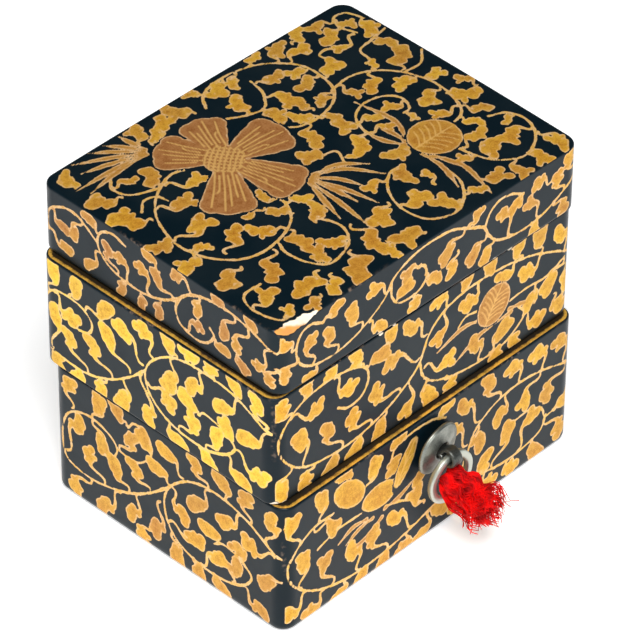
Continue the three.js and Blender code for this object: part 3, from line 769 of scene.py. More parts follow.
class Outline:
    """A rounded rectangle, sampled so that a grid over it ends exactly on its points.

    Rows run along X. Between the corners they are evenly spaced, and round a corner they follow its arc.
    A point is a place on the inner rectangle through the corner centres, plus a radius along its normal.
    """

    CORNER_ROWS = 9
    LEAST_RADIUS = 0.3

    def __init__(self, length: float, width: float, radius: float, step: float) -> None:
        """Lays out rows and columns.

        Args:
            length: Size along X.
            width: Size along Y.
            radius: Radius of the upright corners.
            step: Distance between samples on the straight sides.
        """
        self.half = np.array([length, width]) / 2
        self.radius = radius
        self.inner = self.half - radius
        self.share = np.linspace(-1, 1, int(round(length / step)) + 1)
        straight = np.linspace(-self.inner[1], self.inner[1], int(round(2 * self.inner[1] / step)) + 1)
        angle = np.radians(90) * (1 - np.arange(self.CORNER_ROWS) / self.CORNER_ROWS)
        ends, rows = np.full(len(angle), self.inner[1]), np.zeros(len(straight))
        self.row_core = np.concatenate([-ends, straight, ends])
        self.row_sine = np.concatenate([-np.sin(angle), rows, np.sin(angle)[::-1]])
        self.row_cosine = np.concatenate([np.cos(angle), rows + 1, np.cos(angle)[::-1]])
        columns, middle = len(self.share), slice(1, -1)
        sides = self.row_core[middle]
        flat = np.zeros(columns)
        edge = np.full(len(sides), self.inner[0])
        self.core = np.vstack([
            np.column_stack([self.share * self.inner[0], flat - self.inner[1]]),
            np.column_stack([edge, sides]),
            np.column_stack([self.share[::-1] * self.inner[0], flat + self.inner[1]]),
            np.column_stack([-edge, sides[::-1]]),
        ])
        bow = np.column_stack([self.row_cosine, self.row_sine])[middle]
        self.normal = np.vstack([
            np.column_stack([flat, flat - 1]), bow,
            np.column_stack([flat, flat + 1]), (bow * np.array([-1, 1]))[::-1],
        ])
        self.name_sides()

    def name_sides(self) -> None:
        """Notes each point's face, its place along that face, and how far the nearest corner is."""
        spots = self.at(0)
        steps = np.linalg.norm(np.roll(spots, -1, axis=0) - spots, axis=1)
        run = np.concatenate([[0], np.cumsum(steps)[:-1]])
        whole = steps.sum()
        x, y = self.normal.T
        upright = np.abs(y) >= np.abs(x) - 1e-9
        self.side = np.where(upright, np.where(y < 0, 0, 2), np.where(x > 0, 1, 3))
        quarter = np.radians(90) * self.radius
        stretch = 2 * self.inner
        middles = np.array([
            stretch[0] / 2,
            stretch[0] + quarter + stretch[1] / 2,
            stretch[0] * 1.5 + 2 * quarter + stretch[1],
            stretch[0] * 2 + 3 * quarter + stretch[1] * 1.5,
        ]) * whole / (2 * stretch.sum() + 4 * quarter)
        along = run - middles[self.side]
        self.along = (along + whole / 2) % whole - whole / 2
        reach = np.where(upright, self.inner[0], self.inner[1]) + quarter / 2
        self.to_corner = reach - np.abs(self.along)

    def at(self, inset: float) -> Array:
        """Points of the outline set in by a distance, with corners that never close up.

        Args:
            inset: How far inside the full outline.

        Returns:
            One row for each point, anticlockwise from above.
        """
        radius = max(self.radius - inset, self.LEAST_RADIUS)
        scale = (self.half - inset - radius) / self.inner
        return self.core * scale + radius * self.normal

    def grid(self, inset: float) -> Array:
        """Places of all rows and columns inside the outline set in by a distance."""
        radius = self.radius - inset
        y = self.row_core + radius * self.row_sine
        reach = self.inner[0] + radius * self.row_cosine
        depth = np.repeat(y[:, None], len(self.share), 1)
        return np.stack([self.share[None, :] * reach[:, None], depth], axis=2)

    def grid_index(self, first_edge: int, first_inner: int) -> Array:
        """Vertex numbers of the grid, whose rim is a ring that starts at first_edge.

        Args:
            first_edge: Number of the ring's first vertex.
            first_inner: Number of the first vertex inside the rim.

        Returns:
            One number for each row and column.
        """
        rows, columns = len(self.row_core), len(self.share)
        index = np.empty((rows, columns), int)
        ring = first_edge + np.arange(len(self.core))
        index[0] = ring[:columns]
        index[1:-1, -1] = ring[columns:columns + rows - 2]
        index[-1, ::-1] = ring[columns + rows - 2:2 * columns + rows - 2]
        index[1:-1, 0] = ring[2 * columns + rows - 2:][::-1]
        inner = np.arange((rows - 2) * (columns - 2)).reshape(rows - 2, columns - 2)
        index[1:-1, 1:-1] = first_inner + inner
        return index


def quarter_round(centre: Point, radius: float, start: float, end: float, steps: int = 6) -> list[Point]:
    """Points of a circular arc in the plane of inset and height.

    Args:
        centre: Inset and height of the arc's centre.
        radius: The arc's radius.
        start: First angle in degrees.
        end: Last angle in degrees.
        steps: Number of stretches.

    Returns:
        Pairs of inset and height.
    """
    angle = np.radians(np.linspace(start, end, steps + 1))
    return list(zip(centre[0] + radius * np.cos(angle), centre[1] + radius * np.sin(angle)))


def write_mesh(name: str, places: Array, quads: Array, caps: list[Array] | None = None) -> bpy.types.Object:
    """Makes a smooth mesh object at the origin from points in millimetres.

    Args:
        name: The piece's name.
        places: Points, one row each.
        quads: Rows of four vertex numbers.
        caps: Flat many-sided faces, each a row of vertex numbers.

    Returns:
        The object, linked to the scene.
    """
    mesh = bpy.data.meshes.new(name)
    faces = [quads.reshape(-1)] + [np.asarray(cap) for cap in caps or []]
    sizes = np.concatenate([np.full(len(quads), 4), [len(cap) for cap in caps or []]]).astype(int)
    loops = np.concatenate(faces).astype(np.int32)
    mesh.vertices.add(len(places))
    mesh.vertices.foreach_set("co", (places * MM).astype(np.float32).reshape(-1))
    mesh.loops.add(len(loops))
    mesh.loops.foreach_set("vertex_index", loops)
    mesh.polygons.add(len(sizes))
    mesh.polygons.foreach_set("loop_start", np.concatenate([[0], np.cumsum(sizes)[:-1]]).astype(np.int32))
    smooth = np.ones(len(sizes), bool)
    smooth[len(quads):] = False
    mesh.polygons.foreach_set("use_smooth", smooth)
    mesh.update(calc_edges=True)
    mesh.validate()
    piece = bpy.data.objects.new(name, mesh)
    bpy.context.scene.collection.objects.link(piece)
    return piece


def write_channel(piece: bpy.types.Object, channel: Channel, values: Array) -> None:
    """Stores one value for each vertex under the channel's name."""
    layer = piece.data.attributes.new(channel.value, "FLOAT", "POINT")
    layer.data.foreach_set("value", values.astype(np.float32))


def ring_quads(rings: int, count: int, closed: bool = False) -> Array:
    """Quads between neighbouring rings of vertices that run anticlockwise.

    Args:
        rings: Number of rings.
        count: Vertices in each ring.
        closed: Whether the last ring joins the first.

    Returns:
        Rows of four vertex numbers, ring by ring.
    """
    k = np.arange(rings if closed else rings - 1)[:, None]
    a = np.arange(count)[None, :]
    b = (a + 1) % count
    after = (k + 1) % rings
    corners = [k * count + a, k * count + b, after * count + b, after * count + a]
    return np.stack(corners, axis=2).reshape(-1, 4)


@dataclass
class Tier:
    """One hollow tier of the box: a profile of inset and height carried round a rounded outline."""

    name: str
    length: float
    width: float
    height: float
    seat: Seat
    layouts: dict[Side, FaceLayout]
    wall: float = 2.8
    corner: float = 3.0
    step: float = 0.32
    rim_round: float = 0.35
    fillet: float = 1.0
    corner_line: float = 0.12
    edge_line: float = 0.3
    seed: int = 1
    # Small pale spots drawn as bare wood: real worn spots, and painted highlights along the seams between
    # tiers.
    nicks_and_highlights: tuple[tuple[Side, float, float, float], ...] = ()
    channels: dict[Channel, Array] = field(default_factory=dict)

    def outer_heights(self, low: float, high: float) -> list[Point]:
        """Evenly spaced points up the outer wall, without its ends."""
        count = int(round((high - low) / self.step))
        return [(0.0, z) for z in np.linspace(low, high, count + 1)[1:-1]]

    def start_channels(self, count: int) -> None:
        """Gives every vertex bare ground, far from any edge or chip."""
        bare = {Channel.TONE: 0.0, Channel.WARMTH: 0.5, Channel.CHIP: -FAR}
        self.channels = {channel: np.full(count, bare.get(channel, FAR)) for channel in Channel}

    def paint_sides(self, outline: Outline, heights: Array, first: int) -> None:
        """Paints the outer wall face by face, and notes how far each vertex is from the wall's edges.

        Args:
            outline: The tier's outline.
            heights: Height of each ring of the outer wall.
            first: Number of the first vertex of those rings.
        """
        count = len(outline.core)
        number = first + np.arange(len(heights))[:, None] * count + np.arange(count)[None, :]
        rise = np.repeat(heights[:, None], count, axis=1)
        run = np.repeat(outline.along[None, :], len(heights), axis=0)
        corner = np.repeat(outline.to_corner[None, :], len(heights), axis=0)
        for side in Side:
            here = np.repeat((outline.side == side.value)[None, :], len(heights), axis=0)
            layout = self.layouts[side]
            spots = np.column_stack([run[here], rise[here]])
            painter = ScrollPainter(spots, layout, self.seed + side.value)
            painter.paint()
            index = number[here]
            to_end = np.minimum(rise[here], self.height - rise[here])
            line = np.maximum(self.corner_line - corner[here], self.edge_line - to_end)
            self.channels[Channel.GOLD][index] = np.maximum(painter.gold, line)
            self.channels[Channel.VEIN][index] = painter.vein
            broken = self.channels[Channel.CHIP]
            # Pale spots: worn places, and painted highlights along the seams.
            for place, u, v, radius in self.nicks_and_highlights:
                if place is side:
                    bite = radius - np.hypot((run[here] - u) * 0.55, rise[here] - v)
                    broken[index] = np.maximum(broken[index], bite)
            self.channels[Channel.TONE][index] = np.minimum(painter.tone + layout.dullness, 1)
            self.channels[Channel.WARMTH][index] = layout.warmth
        ends = np.minimum(rise, self.height - rise)
        self.channels[Channel.ARRIS][number] = np.minimum(ends, corner)

    def dress(self, piece: bpy.types.Object, zones: Array) -> None:
        """Writes the channels, gives each face its finish, and puts the piece in place of its solid."""
        for channel, values in self.channels.items():
            write_channel(piece, channel, values)
        for finish in (PAINTED_LACQUER, GILT_RIM, INNER_LACQUER):
            piece.data.materials.append(finish.material())
        piece.data.polygons.foreach_set("material_index", zones.astype(np.int32))
        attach(piece, "box")
        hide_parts(self.name)
        log.info("%s: %d faces", piece.name, len(piece.data.polygons))


@dataclass
class Tray(Tier):
    """An open tray with a flat gilt rim."""

    bottom_round: float = 1.5
    floor_top: float = 3.0
    plug_inset: float = 0.0
    plug_depth: float = 0.0

    def profile(self) -> tuple[Array, Array]:
        """Inset and height from the underside, up the outside, over the rim and down to the inner floor.

        Returns:
            Rows of inset and height, and the zone of the strip that starts at each row.
        """
        rim, top, low = self.rim_round, self.height, self.bottom_round
        step = []
        if self.plug_depth:
            step = [(self.plug_inset + rim, -self.plug_depth), (self.plug_inset, rim - self.plug_depth),
                    (self.plug_inset, 0.0)]
        outside = (
            quarter_round((low, low), low, -90, -180)
            + self.outer_heights(low, top - rim)
            + quarter_round((rim, top - rim), rim, 180, 90, 4)
        )
        across = [(inset, top) for inset in np.linspace(rim, self.wall - rim, 6)[1:-1]]
        inside = (
            quarter_round((self.wall - rim, top - rim), rim, 90, 0, 4)
            + [(self.wall, z) for z in np.linspace(top - rim, self.floor_top + self.fillet, 8)[1:-1]]
            + quarter_round((self.wall + self.fillet, self.floor_top + self.fillet), self.fillet, -180, -90)
        )
        self.first_outer = len(step)
        self.outer_rings = len(outside)
        zones = ([Zone.INSIDE.value] * len(step) + [Zone.PAINTED.value] * (len(outside) - 1)
                 + [Zone.RIM.value] * (len(across) + 2) + [Zone.INSIDE.value] * (len(inside) - 1))
        return np.array(step + outside + across + inside), np.array(zones)

    def build(self) -> bpy.types.Object:
        """Builds the tray's skin, paints it and puts it in place.

        Returns:
            The tray.
        """
        outline = Outline(self.length, self.width, self.corner, self.step)
        profile, zones = self.profile()
        count = len(outline.core)
        rings = [np.column_stack([outline.at(inset), np.full(count, z)]) for inset, z in profile]
        places = np.vstack(rings)
        self.start_channels(len(places))
        # On the rim the arris channel holds the inset, which the gilt rim uses for its painted shade under
        # the tier above.
        flat_rim = np.repeat(zones == Zone.RIM.value, count)
        self.channels[Channel.ARRIS][flat_rim] = np.repeat(profile[:, 0], count)[flat_rim]
        heights = profile[self.first_outer:self.first_outer + self.outer_rings, 1]
        self.paint_sides(outline, heights, self.first_outer * count)
        caps = [np.arange(count)[::-1], (len(rings) - 1) * count + np.arange(count)]
        quads = ring_quads(len(rings), count)
        piece = write_mesh(f"{self.name}_painted", self.seat.place(places), quads, caps)
        strips = np.repeat(zones[:len(rings) - 1], count)
        self.dress(piece, np.concatenate([strips, [Zone.INSIDE.value, Zone.INSIDE.value]]))
        return piece


@dataclass
class Lid(Tier):
    """The tall lid: crowned top, hollow inside with a locating strip, and a chip on its top front edge."""

    top: FaceLayout = field(default_factory=FaceLayout)
    top_round: float = 0.4
    # Painted sheen: towards the corner away from the camera the top's gold is made duller and yellower, for
    # the glancing haze there.
    far_sheen_dulling: float = 0.05
    far_sheen_warmth: float = 0.16
    chip_length: float = 12.6
    chip_fade: float = 5.5
    chip_end: float = 13.0
    chip_reach: float = 4.0
    chip_cuts: tuple[Point, ...] = ((52.0, 1.0), (20.0, 0.42))
    seam_round: float = 0.6
    crown: float = 0.7
    top_board: float = 3.0
    strip_outer: float = 4.4
    strip_inner: float = 6.0
    strip_depth: float = 3.0
    strip_height: float = 4.0

    def crown_at(self, places: Array) -> Array:
        """Rise of the crowned top: none at the corners, half at an edge's middle, whole in the middle."""
        share = 2 * places[:, :2] / np.array([self.length, self.width])
        return self.crown * (1 - (share**2).sum(axis=1) / 2)

    def profile(self) -> tuple[Array, Array, Array]:
        """Inset and height from the ceiling, down inside, round the strip and up the outside.

        Returns:
            Rows of inset and height, the zone of the strip from each row, and each row's share of crown.
        """
        ceiling = self.height - self.top_board
        fillet = self.fillet
        inside = (
            quarter_round((self.wall + fillet, ceiling - fillet), fillet, 90, 180)
            + [(self.wall, self.strip_height), (self.strip_inner, self.strip_height),
               (self.strip_inner, -self.strip_depth), (self.strip_outer, -self.strip_depth),
               (self.strip_outer, 0.0)]
        )
        seam, edge = self.seam_round, self.top_round
        outside = (
            quarter_round((seam, seam), seam, -90, -180, 4)
            + self.outer_heights(seam, self.height - edge)
            + quarter_round((edge, self.height - edge), edge, 180, 90, 7)
        )
        rows = np.array(inside + outside)
        self.first_outer = len(inside)
        hidden = [Zone.INSIDE.value] * (len(inside) + 1)
        zones = np.array(hidden + [Zone.PAINTED.value] * (len(outside) - 1))
        rise = np.clip((rows[:, 1] - 0.5 * self.height) / (0.5 * self.height - edge), 0, 1)
        rise[:self.first_outer] = 0
        return rows, zones, rise

    def chip(self, places: Array) -> tuple[Array, Array]:
        """Breaks the top front edge beside the left corner.

        Points outside two slanted planes are pushed back onto them, with a rough grain along the break.

        Args:
            places: Points of the lid in its own frame.

        Returns:
            The moved points, and how deep each was cut, below nought where it was not.
        """
        corner = np.array([-self.length / 2, -self.width / 2, self.height])
        along = places[:, 0] - corner[0]
        fade = np.clip((self.chip_length - along) / self.chip_fade, 0, 1) ** 0.8
        depth = np.full(len(places), -FAR)
        moved = places.copy()
        for tilt, bite in self.chip_cuts:
            slope = np.radians(tilt)
            normal = np.array([-0.05, -np.cos(slope), np.sin(slope)])
            normal /= np.linalg.norm(normal)
            grain = 0.09 * np.sin(1.9 * along + 1.3) + 0.05 * np.sin(4.7 * along + 2 * places[:, 1])
            over = (moved - corner) @ normal + bite * fade + grain * fade - 0.3 * (1 - fade)
            over = np.where(along < self.chip_end, over, -FAR)
            cut = np.clip(over, 0, None)
            moved -= cut[:, None] * normal
            depth = np.maximum(depth, np.where(over > -0.6, over, -FAR))
        near = (places[:, 2] > self.height - self.chip_reach) & (places[:, 1] < corner[1] + self.chip_reach)
        return np.where(near[:, None], moved, places), np.where(near, depth, -FAR)

    def build(self) -> bpy.types.Object:
        """Builds the lid's skin with its crowned top grid, paints it and puts it in place.

        Returns:
            The lid.
        """
        outline = Outline(self.length, self.width, self.corner, self.step)
        profile, zones, rise = self.profile()
        count = len(outline.core)
        rings = [np.column_stack([outline.at(inset), np.full(count, z)]) for inset, z in profile]
        sides = np.vstack(rings)
        grid = outline.grid(self.top_round)[1:-1, 1:-1].reshape(-1, 2)
        places = np.vstack([sides, np.column_stack([grid, np.full(len(grid), self.height)])])
        share = np.concatenate([np.repeat(rise, count), np.ones(len(grid))])
        places[:, 2] += share * self.crown_at(places)
        self.start_channels(len(places))
        self.paint_sides(outline, profile[self.first_outer:, 1], self.first_outer * count)
        self.paint_top(places, len(rings), count, len(sides))
        places, broken = self.chip(places)
        self.channels[Channel.CHIP] = np.maximum(self.channels[Channel.CHIP], broken)
        index = outline.grid_index((len(rings) - 1) * count, len(sides))
        corners = [index[:-1, :-1], index[:-1, 1:], index[1:, 1:], index[1:, :-1]]
        top = np.stack(corners, axis=2).reshape(-1, 4)
        quads = np.vstack([ring_quads(len(rings), count), top])
        piece = write_mesh(f"{self.name}_painted", self.seat.place(places), quads, [np.arange(count)[::-1]])
        strips = np.repeat(zones[:len(rings) - 1], count)
        self.dress(piece, np.concatenate([strips, np.zeros(len(top)), [Zone.INSIDE.value]]))
        return piece

    def paint_top(self, places: Array, rings: int, count: int, inner: int) -> None:
        """Paints the crowned top and the upper half of its rounded edge.

        Args:
            places: All points of the lid in its own frame.
            rings: Number of rings of the side's profile.
            count: Points in each ring.
            inner: Number of the first vertex inside the top's rim.
        """
        edge = np.arange((rings - 5) * count, rings * count)
        index = np.concatenate([edge, np.arange(inner, len(places))])
        painter = ScrollPainter(places[index, :2], self.top, self.seed + 11)
        painter.paint()
        self.channels[Channel.GOLD][index] = painter.gold
        self.channels[Channel.VEIN][index] = painter.vein
        # Painted sheen: duller and yellower gold towards the far corner, away from the camera.
        away = (2 * places[index, :2] / np.array([self.length, self.width])).mean(axis=1)
        self.channels[Channel.TONE][index] = np.clip(painter.tone + self.far_sheen_dulling * (0.4 + away), 0, 1)
        self.channels[Channel.WARMTH][index] = np.clip(self.top.warmth + self.far_sheen_warmth * away, 0, 1)
        reach = np.array([self.length, self.width]) / 2 - np.abs(places[index, :2])
        self.channels[Channel.ARRIS][index] = reach.min(axis=1)


# Finishes.


class Shader:
    """A material's node tree with short ways to add and join nodes."""

    def __init__(self, tree: bpy.types.NodeTree) -> None:
        """Wraps a node tree."""
        self.tree = tree

    def node(self, kind: str, **settings: object) -> bpy.types.Node:
        """Adds a node and sets its properties by name."""
        made = self.tree.nodes.new(kind)
        for key, value in settings.items():
            setattr(made, key, value)
        return made

    def join(self, source: bpy.types.NodeSocket, target: bpy.types.NodeSocket) -> None:
        """Links an output to an input."""
        self.tree.links.new(source, target)

    def feed(self, target: bpy.types.NodeSocket, value: object) -> None:
        """Links a socket, or sets a plain value."""
        if isinstance(value, bpy.types.NodeSocket):
            self.join(value, target)
        else:
            target.default_value = value

    def math(self, how: str, first: object, second: object = 0.0) -> bpy.types.NodeSocket:
        """One sum of two values."""
        made = self.node("ShaderNodeMath", operation=how)
        self.feed(made.inputs[0], first)
        self.feed(made.inputs[1], second)
        return made.outputs[0]

    def mix(self, share: object, first: object, second: object, how: str = "MIX") -> bpy.types.NodeSocket:
        """Mixes two colours by a share."""
        made = self.node("ShaderNodeMix", data_type="RGBA", blend_type=how)
        self.feed(made.inputs[0], share)
        self.feed(made.inputs[6], first)
        self.feed(made.inputs[7], second)
        return made.outputs[2]

    def ramp(
        self, value: object, low: float, high: float, start: float = 0.0, end: float = 1.0
    ) -> bpy.types.NodeSocket:
        """A smooth step of a value from one bound to another."""
        made = self.node("ShaderNodeMapRange", interpolation_type="SMOOTHSTEP")
        self.feed(made.inputs[0], value)
        made.inputs[1].default_value, made.inputs[2].default_value = low, high
        made.inputs[3].default_value, made.inputs[4].default_value = start, end
        return made.outputs[0]

    def channel(self, channel: Channel) -> bpy.types.NodeSocket:
        """The skin's own value of that name."""
        return self.node("ShaderNodeAttribute", attribute_name=channel.value).outputs["Fac"]

    def noise(
        self, scale: float, detail: float = 3.0, stretch: tuple[float, float, float] = (1, 1, 1)
    ) -> bpy.types.NodeSocket:
        """Cloudy noise on Object coordinates, in cells to the metre, stretched along the axes."""
        place = self.node("ShaderNodeTexCoord").outputs["Object"]
        mapping = self.node("ShaderNodeMapping")
        mapping.inputs["Scale"].default_value = stretch
        self.join(place, mapping.inputs["Vector"])
        made = self.node("ShaderNodeTexNoise")
        made.inputs["Scale"].default_value = scale
        made.inputs["Detail"].default_value = detail
        self.join(mapping.outputs["Vector"], made.inputs["Vector"])
        return made.outputs["Fac"]

    def bump(self, height: object, distance: float, strength: float = 1.0) -> bpy.types.NodeSocket:
        """A normal from a height."""
        made = self.node("ShaderNodeBump")
        made.inputs["Distance"].default_value = distance
        made.inputs["Strength"].default_value = strength
        self.feed(made.inputs["Height"], height)
        return made.outputs["Normal"]

    def group(self, tree: bpy.types.NodeTree, **values: object) -> bpy.types.Node:
        """Places a shared group with its own values."""
        made = self.node("ShaderNodeGroup", node_tree=tree)
        for key, value in values.items():
            self.feed(made.inputs[key.replace("_", " ")], value)
        return made


class SharedEffects:
    """Node groups that several finishes use, each built once."""

    made: dict[str, bpy.types.NodeTree] = {}

    @classmethod
    def tree(
        cls, name: str, inputs: dict[str, float], outputs: tuple[str, ...]
    ) -> tuple[Shader, object, object]:
        """Starts a group with named inputs and outputs.

        Args:
            name: The group's name.
            inputs: Input names and their usual values.
            outputs: Output names.

        Returns:
            The group's tree, its input node and its output node.
        """
        tree = bpy.data.node_groups.new(name, "ShaderNodeTree")
        for key, value in inputs.items():
            socket = tree.interface.new_socket(name=key, in_out="INPUT", socket_type="NodeSocketFloat")
            socket.default_value = value
        for key in outputs:
            tree.interface.new_socket(name=key, in_out="OUTPUT", socket_type="NodeSocketFloat")
        shader = Shader(tree)
        return shader, shader.node("NodeGroupInput"), shader.node("NodeGroupOutput")

    @classmethod
    def edge_wear(cls) -> bpy.types.NodeTree:
        """Mask of a rubbed arris: strong at the edge, broken up by noise, gone at the given reach."""
        if "edge_wear" not in cls.made:
            usual = {"Distance": 9.0, "Reach": 0.6, "Amount": 0.5}
            shader, given, out = cls.tree("edge_wear", usual, ("Mask",))
            near = shader.math("DIVIDE", given.outputs["Distance"], given.outputs["Reach"])
            near = shader.ramp(near, 0.0, 1.0, 1.0, 0.0)
            rough = shader.ramp(shader.noise(950.0, 5.0), 0.47, 0.7)
            patch = shader.ramp(shader.noise(75.0, 2.0), 0.5, 0.62)
            worn = shader.math("MULTIPLY", shader.math("MULTIPLY", near, rough), given.outputs["Amount"])
            worn = shader.math("MULTIPLY", worn, patch)
            shader.join(worn, out.inputs["Mask"])
            cls.made["edge_wear"] = shader.tree
        return cls.made["edge_wear"]

    @classmethod
    def hand_mottle(cls) -> bpy.types.NodeTree:
        """Cloudy and grainy variation, around nought, of a hand-laid or hand-rubbed surface."""
        if "hand_mottle" not in cls.made:
            shader, given, out = cls.tree("hand_mottle", {"Cloud": 0.5, "Grain": 0.3}, ("Value",))
            cloud = shader.math("SUBTRACT", shader.noise(900.0, 4.0), 0.5)
            grain = shader.math("SUBTRACT", shader.noise(3600.0, 2.0), 0.5)
            cloud = shader.math("MULTIPLY", cloud, given.outputs["Cloud"])
            grain = shader.math("MULTIPLY", grain, given.outputs["Grain"])
            shader.join(shader.math("ADD", cloud, grain), out.inputs["Value"])
            cls.made["hand_mottle"] = shader.tree
        return cls.made["hand_mottle"]


Colour = tuple[float, float, float, float]


@dataclass(frozen=True)
class Finish:
    """A named material that is made once."""

    name: str

    def material(self) -> bpy.types.Material:
        """The finish's material, built at its first use."""
        made = bpy.data.materials.get(self.name)
        if made is None:
            made = bpy.data.materials.new(self.name)
            made.use_nodes = True
            made.node_tree.nodes.clear()
            shader = Shader(made.node_tree)
            surface = shader.node("ShaderNodeBsdfPrincipled")
            out = shader.node("ShaderNodeOutputMaterial")
            shader.join(surface.outputs[0], out.inputs[0])
            self.draw(shader, surface)
        return made

    def draw(self, shader: Shader, surface: bpy.types.Node) -> None:
        """Builds the nodes that feed the surface."""
        raise NotImplementedError


@dataclass(frozen=True)
class PaintedLacquer(Finish):
    """Black lacquer with the gold scroll, rubbed arrises and bare wood where it is chipped."""

    ground: Colour = (0.002, 0.008, 0.0125, 1)
    hazy_ground: Colour = (0.006, 0.0125, 0.0165, 1)
    copper_gold: Colour = (0.72, 0.345, 0.03, 1)
    yellow_gold: Colour = (1.0, 0.65, 0.06, 1)
    petal_copper: Colour = (0.46, 0.20, 0.062, 1)
    vein_gold: Colour = (0.92, 0.56, 0.17, 1)
    browning: Colour = (0.68, 0.54, 0.4, 1)
    pale_edge: Colour = (0.90, 0.60, 0.31, 1)
    # Pale bare wood, partly a painted highlight where the chip's facet faces up.
    highlit_pale_wood: Colour = (0.93, 0.80, 0.62, 1)
    tan_wood: Colour = (0.78, 0.33, 0.07, 1)
    rubbed: Colour = (0.24, 0.165, 0.12, 1)
    gloss: float = 0.15
    chip_highlight_line: float = 0.0609
    fine_wobble: float = 0.2
    broad_wobble: float = 0.42
    ground_roughness: float = 0.29
    gold_roughness: float = 0.18
    gold_metal: float = 0.3
    wear_reach: float = 0.7
    wear_amount: float = 0.75

    def gold_colour(self, shader: Shader, gap: bpy.types.NodeSocket) -> bpy.types.NodeSocket:
        """Gold that is warmer on some faces, coppery on petals, mottled inside and paler at its edge.

        Args:
            shader: The material's nodes.
            gap: Signed distance to the gold's edge.

        Returns:
            The colour.
        """
        drift = shader.math("MULTIPLY", shader.math("SUBTRACT", shader.noise(170.0, 2.0), 0.5), 1.1)
        warm = shader.math("ADD", shader.channel(Channel.WARMTH), drift)
        gold = shader.mix(warm, self.copper_gold, self.yellow_gold)
        tone = shader.channel(Channel.TONE)
        gold = shader.mix(tone, gold, self.petal_copper)
        mottle = shader.group(SharedEffects.hand_mottle(), Cloud=1.8, Grain=1.4).outputs["Value"]
        depth = shader.ramp(gap, -1.3, -0.25)
        browned = shader.math("ADD", shader.math("MULTIPLY", depth, -0.34), 0.42)
        browned = shader.math("ADD", browned, shader.math("MULTIPLY", mottle, 1.15))
        gold = shader.mix(browned, gold, shader.mix(1.0, gold, self.browning, "MULTIPLY"))
        rim = shader.math("MULTIPLY", shader.ramp(gap, -0.4, -0.1), shader.math("ADD", mottle, 0.5))
        gold = shader.mix(rim, gold, self.pale_edge)
        vein = shader.ramp(shader.channel(Channel.VEIN), -0.05, 0.2, 0.62, 0.0)
        return shader.mix(vein, gold, self.vein_gold)

    def draw(self, shader: Shader, surface: bpy.types.Node) -> None:
        """Lays ground, gold, rubbed edges and chips over each other by their distances."""
        fine = shader.math("SUBTRACT", shader.noise(1500.0, 2.0), 0.5)
        fine = shader.math("MULTIPLY", fine, self.fine_wobble)
        broad = shader.math("SUBTRACT", shader.noise(620.0, 2.0), 0.5)
        broad = shader.math("MULTIPLY", broad, self.broad_wobble)
        wobble = shader.math("ADD", fine, broad)
        gap = shader.math("ADD", shader.channel(Channel.GOLD), wobble)
        gold_mask = shader.ramp(gap, -0.06, 0.06, 1.0, 0.0)
        haze = shader.ramp(shader.noise(90.0, 4.0), 0.35, 0.7)
        ground = shader.mix(haze, self.ground, self.hazy_ground)
        colour = shader.mix(gold_mask, ground, self.gold_colour(shader, gap))
        arris = shader.channel(Channel.ARRIS)
        worn = shader.group(
            SharedEffects.edge_wear(), Distance=arris, Reach=self.wear_reach, Amount=self.wear_amount
        ).outputs["Mask"]
        colour = shader.mix(worn, colour, self.rubbed)
        # Bare wood where chipped or nicked. On the lid's chip the wood above a slanted line is pale, partly
        # a painted highlight on the facet that faces up, and the wood below it is tan. Nicked spots on the
        # trays and on the lid's lower edge take the pale colour.
        chip = shader.channel(Channel.CHIP)
        bare = shader.ramp(shader.math("ADD", chip, wobble), -0.05, 0.08)
        fibre = shader.ramp(shader.noise(500.0, 4.0, (0.25, 1, 1)), 0.35, 0.65)
        spot = shader.node("ShaderNodeSeparateXYZ")
        shader.join(shader.node("ShaderNodeTexCoord").outputs["Object"], spot.inputs[0])
        height = shader.math("ADD", spot.outputs["Z"], shader.math("MULTIPLY", spot.outputs["X"], 0.22))
        height = shader.math("ADD", height, shader.math("MULTIPLY", wobble, 0.001))
        pale = shader.ramp(height, self.chip_highlight_line - 0.0002, self.chip_highlight_line + 0.0003)
        on_lid = shader.ramp(spot.outputs["Z"], 0.059, 0.062)
        below = shader.math("MULTIPLY", shader.math("SUBTRACT", 1.0, pale), on_lid)
        wood = shader.mix(below, self.highlit_pale_wood, self.tan_wood)
        wood = shader.mix(shader.math("MULTIPLY", fibre, 0.25), wood, self.rubbed)
        colour = shader.mix(bare, colour, wood)
        shader.join(colour, surface.inputs["Base Color"])
        rough = shader.math("MULTIPLY", gold_mask, self.gold_roughness)
        rough = shader.math("ADD", self.ground_roughness, rough)
        rough = shader.math("ADD", rough, shader.math("MULTIPLY", shader.math("MAXIMUM", worn, bare), 0.4))
        haze = shader.math("MULTIPLY", shader.ramp(shader.noise(260.0, 6.0), 0.45, 0.75), 0.1)
        shader.join(shader.math("ADD", rough, haze), surface.inputs["Roughness"])
        covered = shader.math("MULTIPLY", bare, self.gold_metal)
        metal = shader.math("MULTIPLY", gold_mask, shader.math("SUBTRACT", self.gold_metal, covered))
        shader.join(metal, surface.inputs["Metallic"])
        shader.join(shader.bump(shader.noise(160.0, 3.0), 0.00004), surface.inputs["Normal"])
        surface.inputs["Specular IOR Level"].default_value = self.gloss


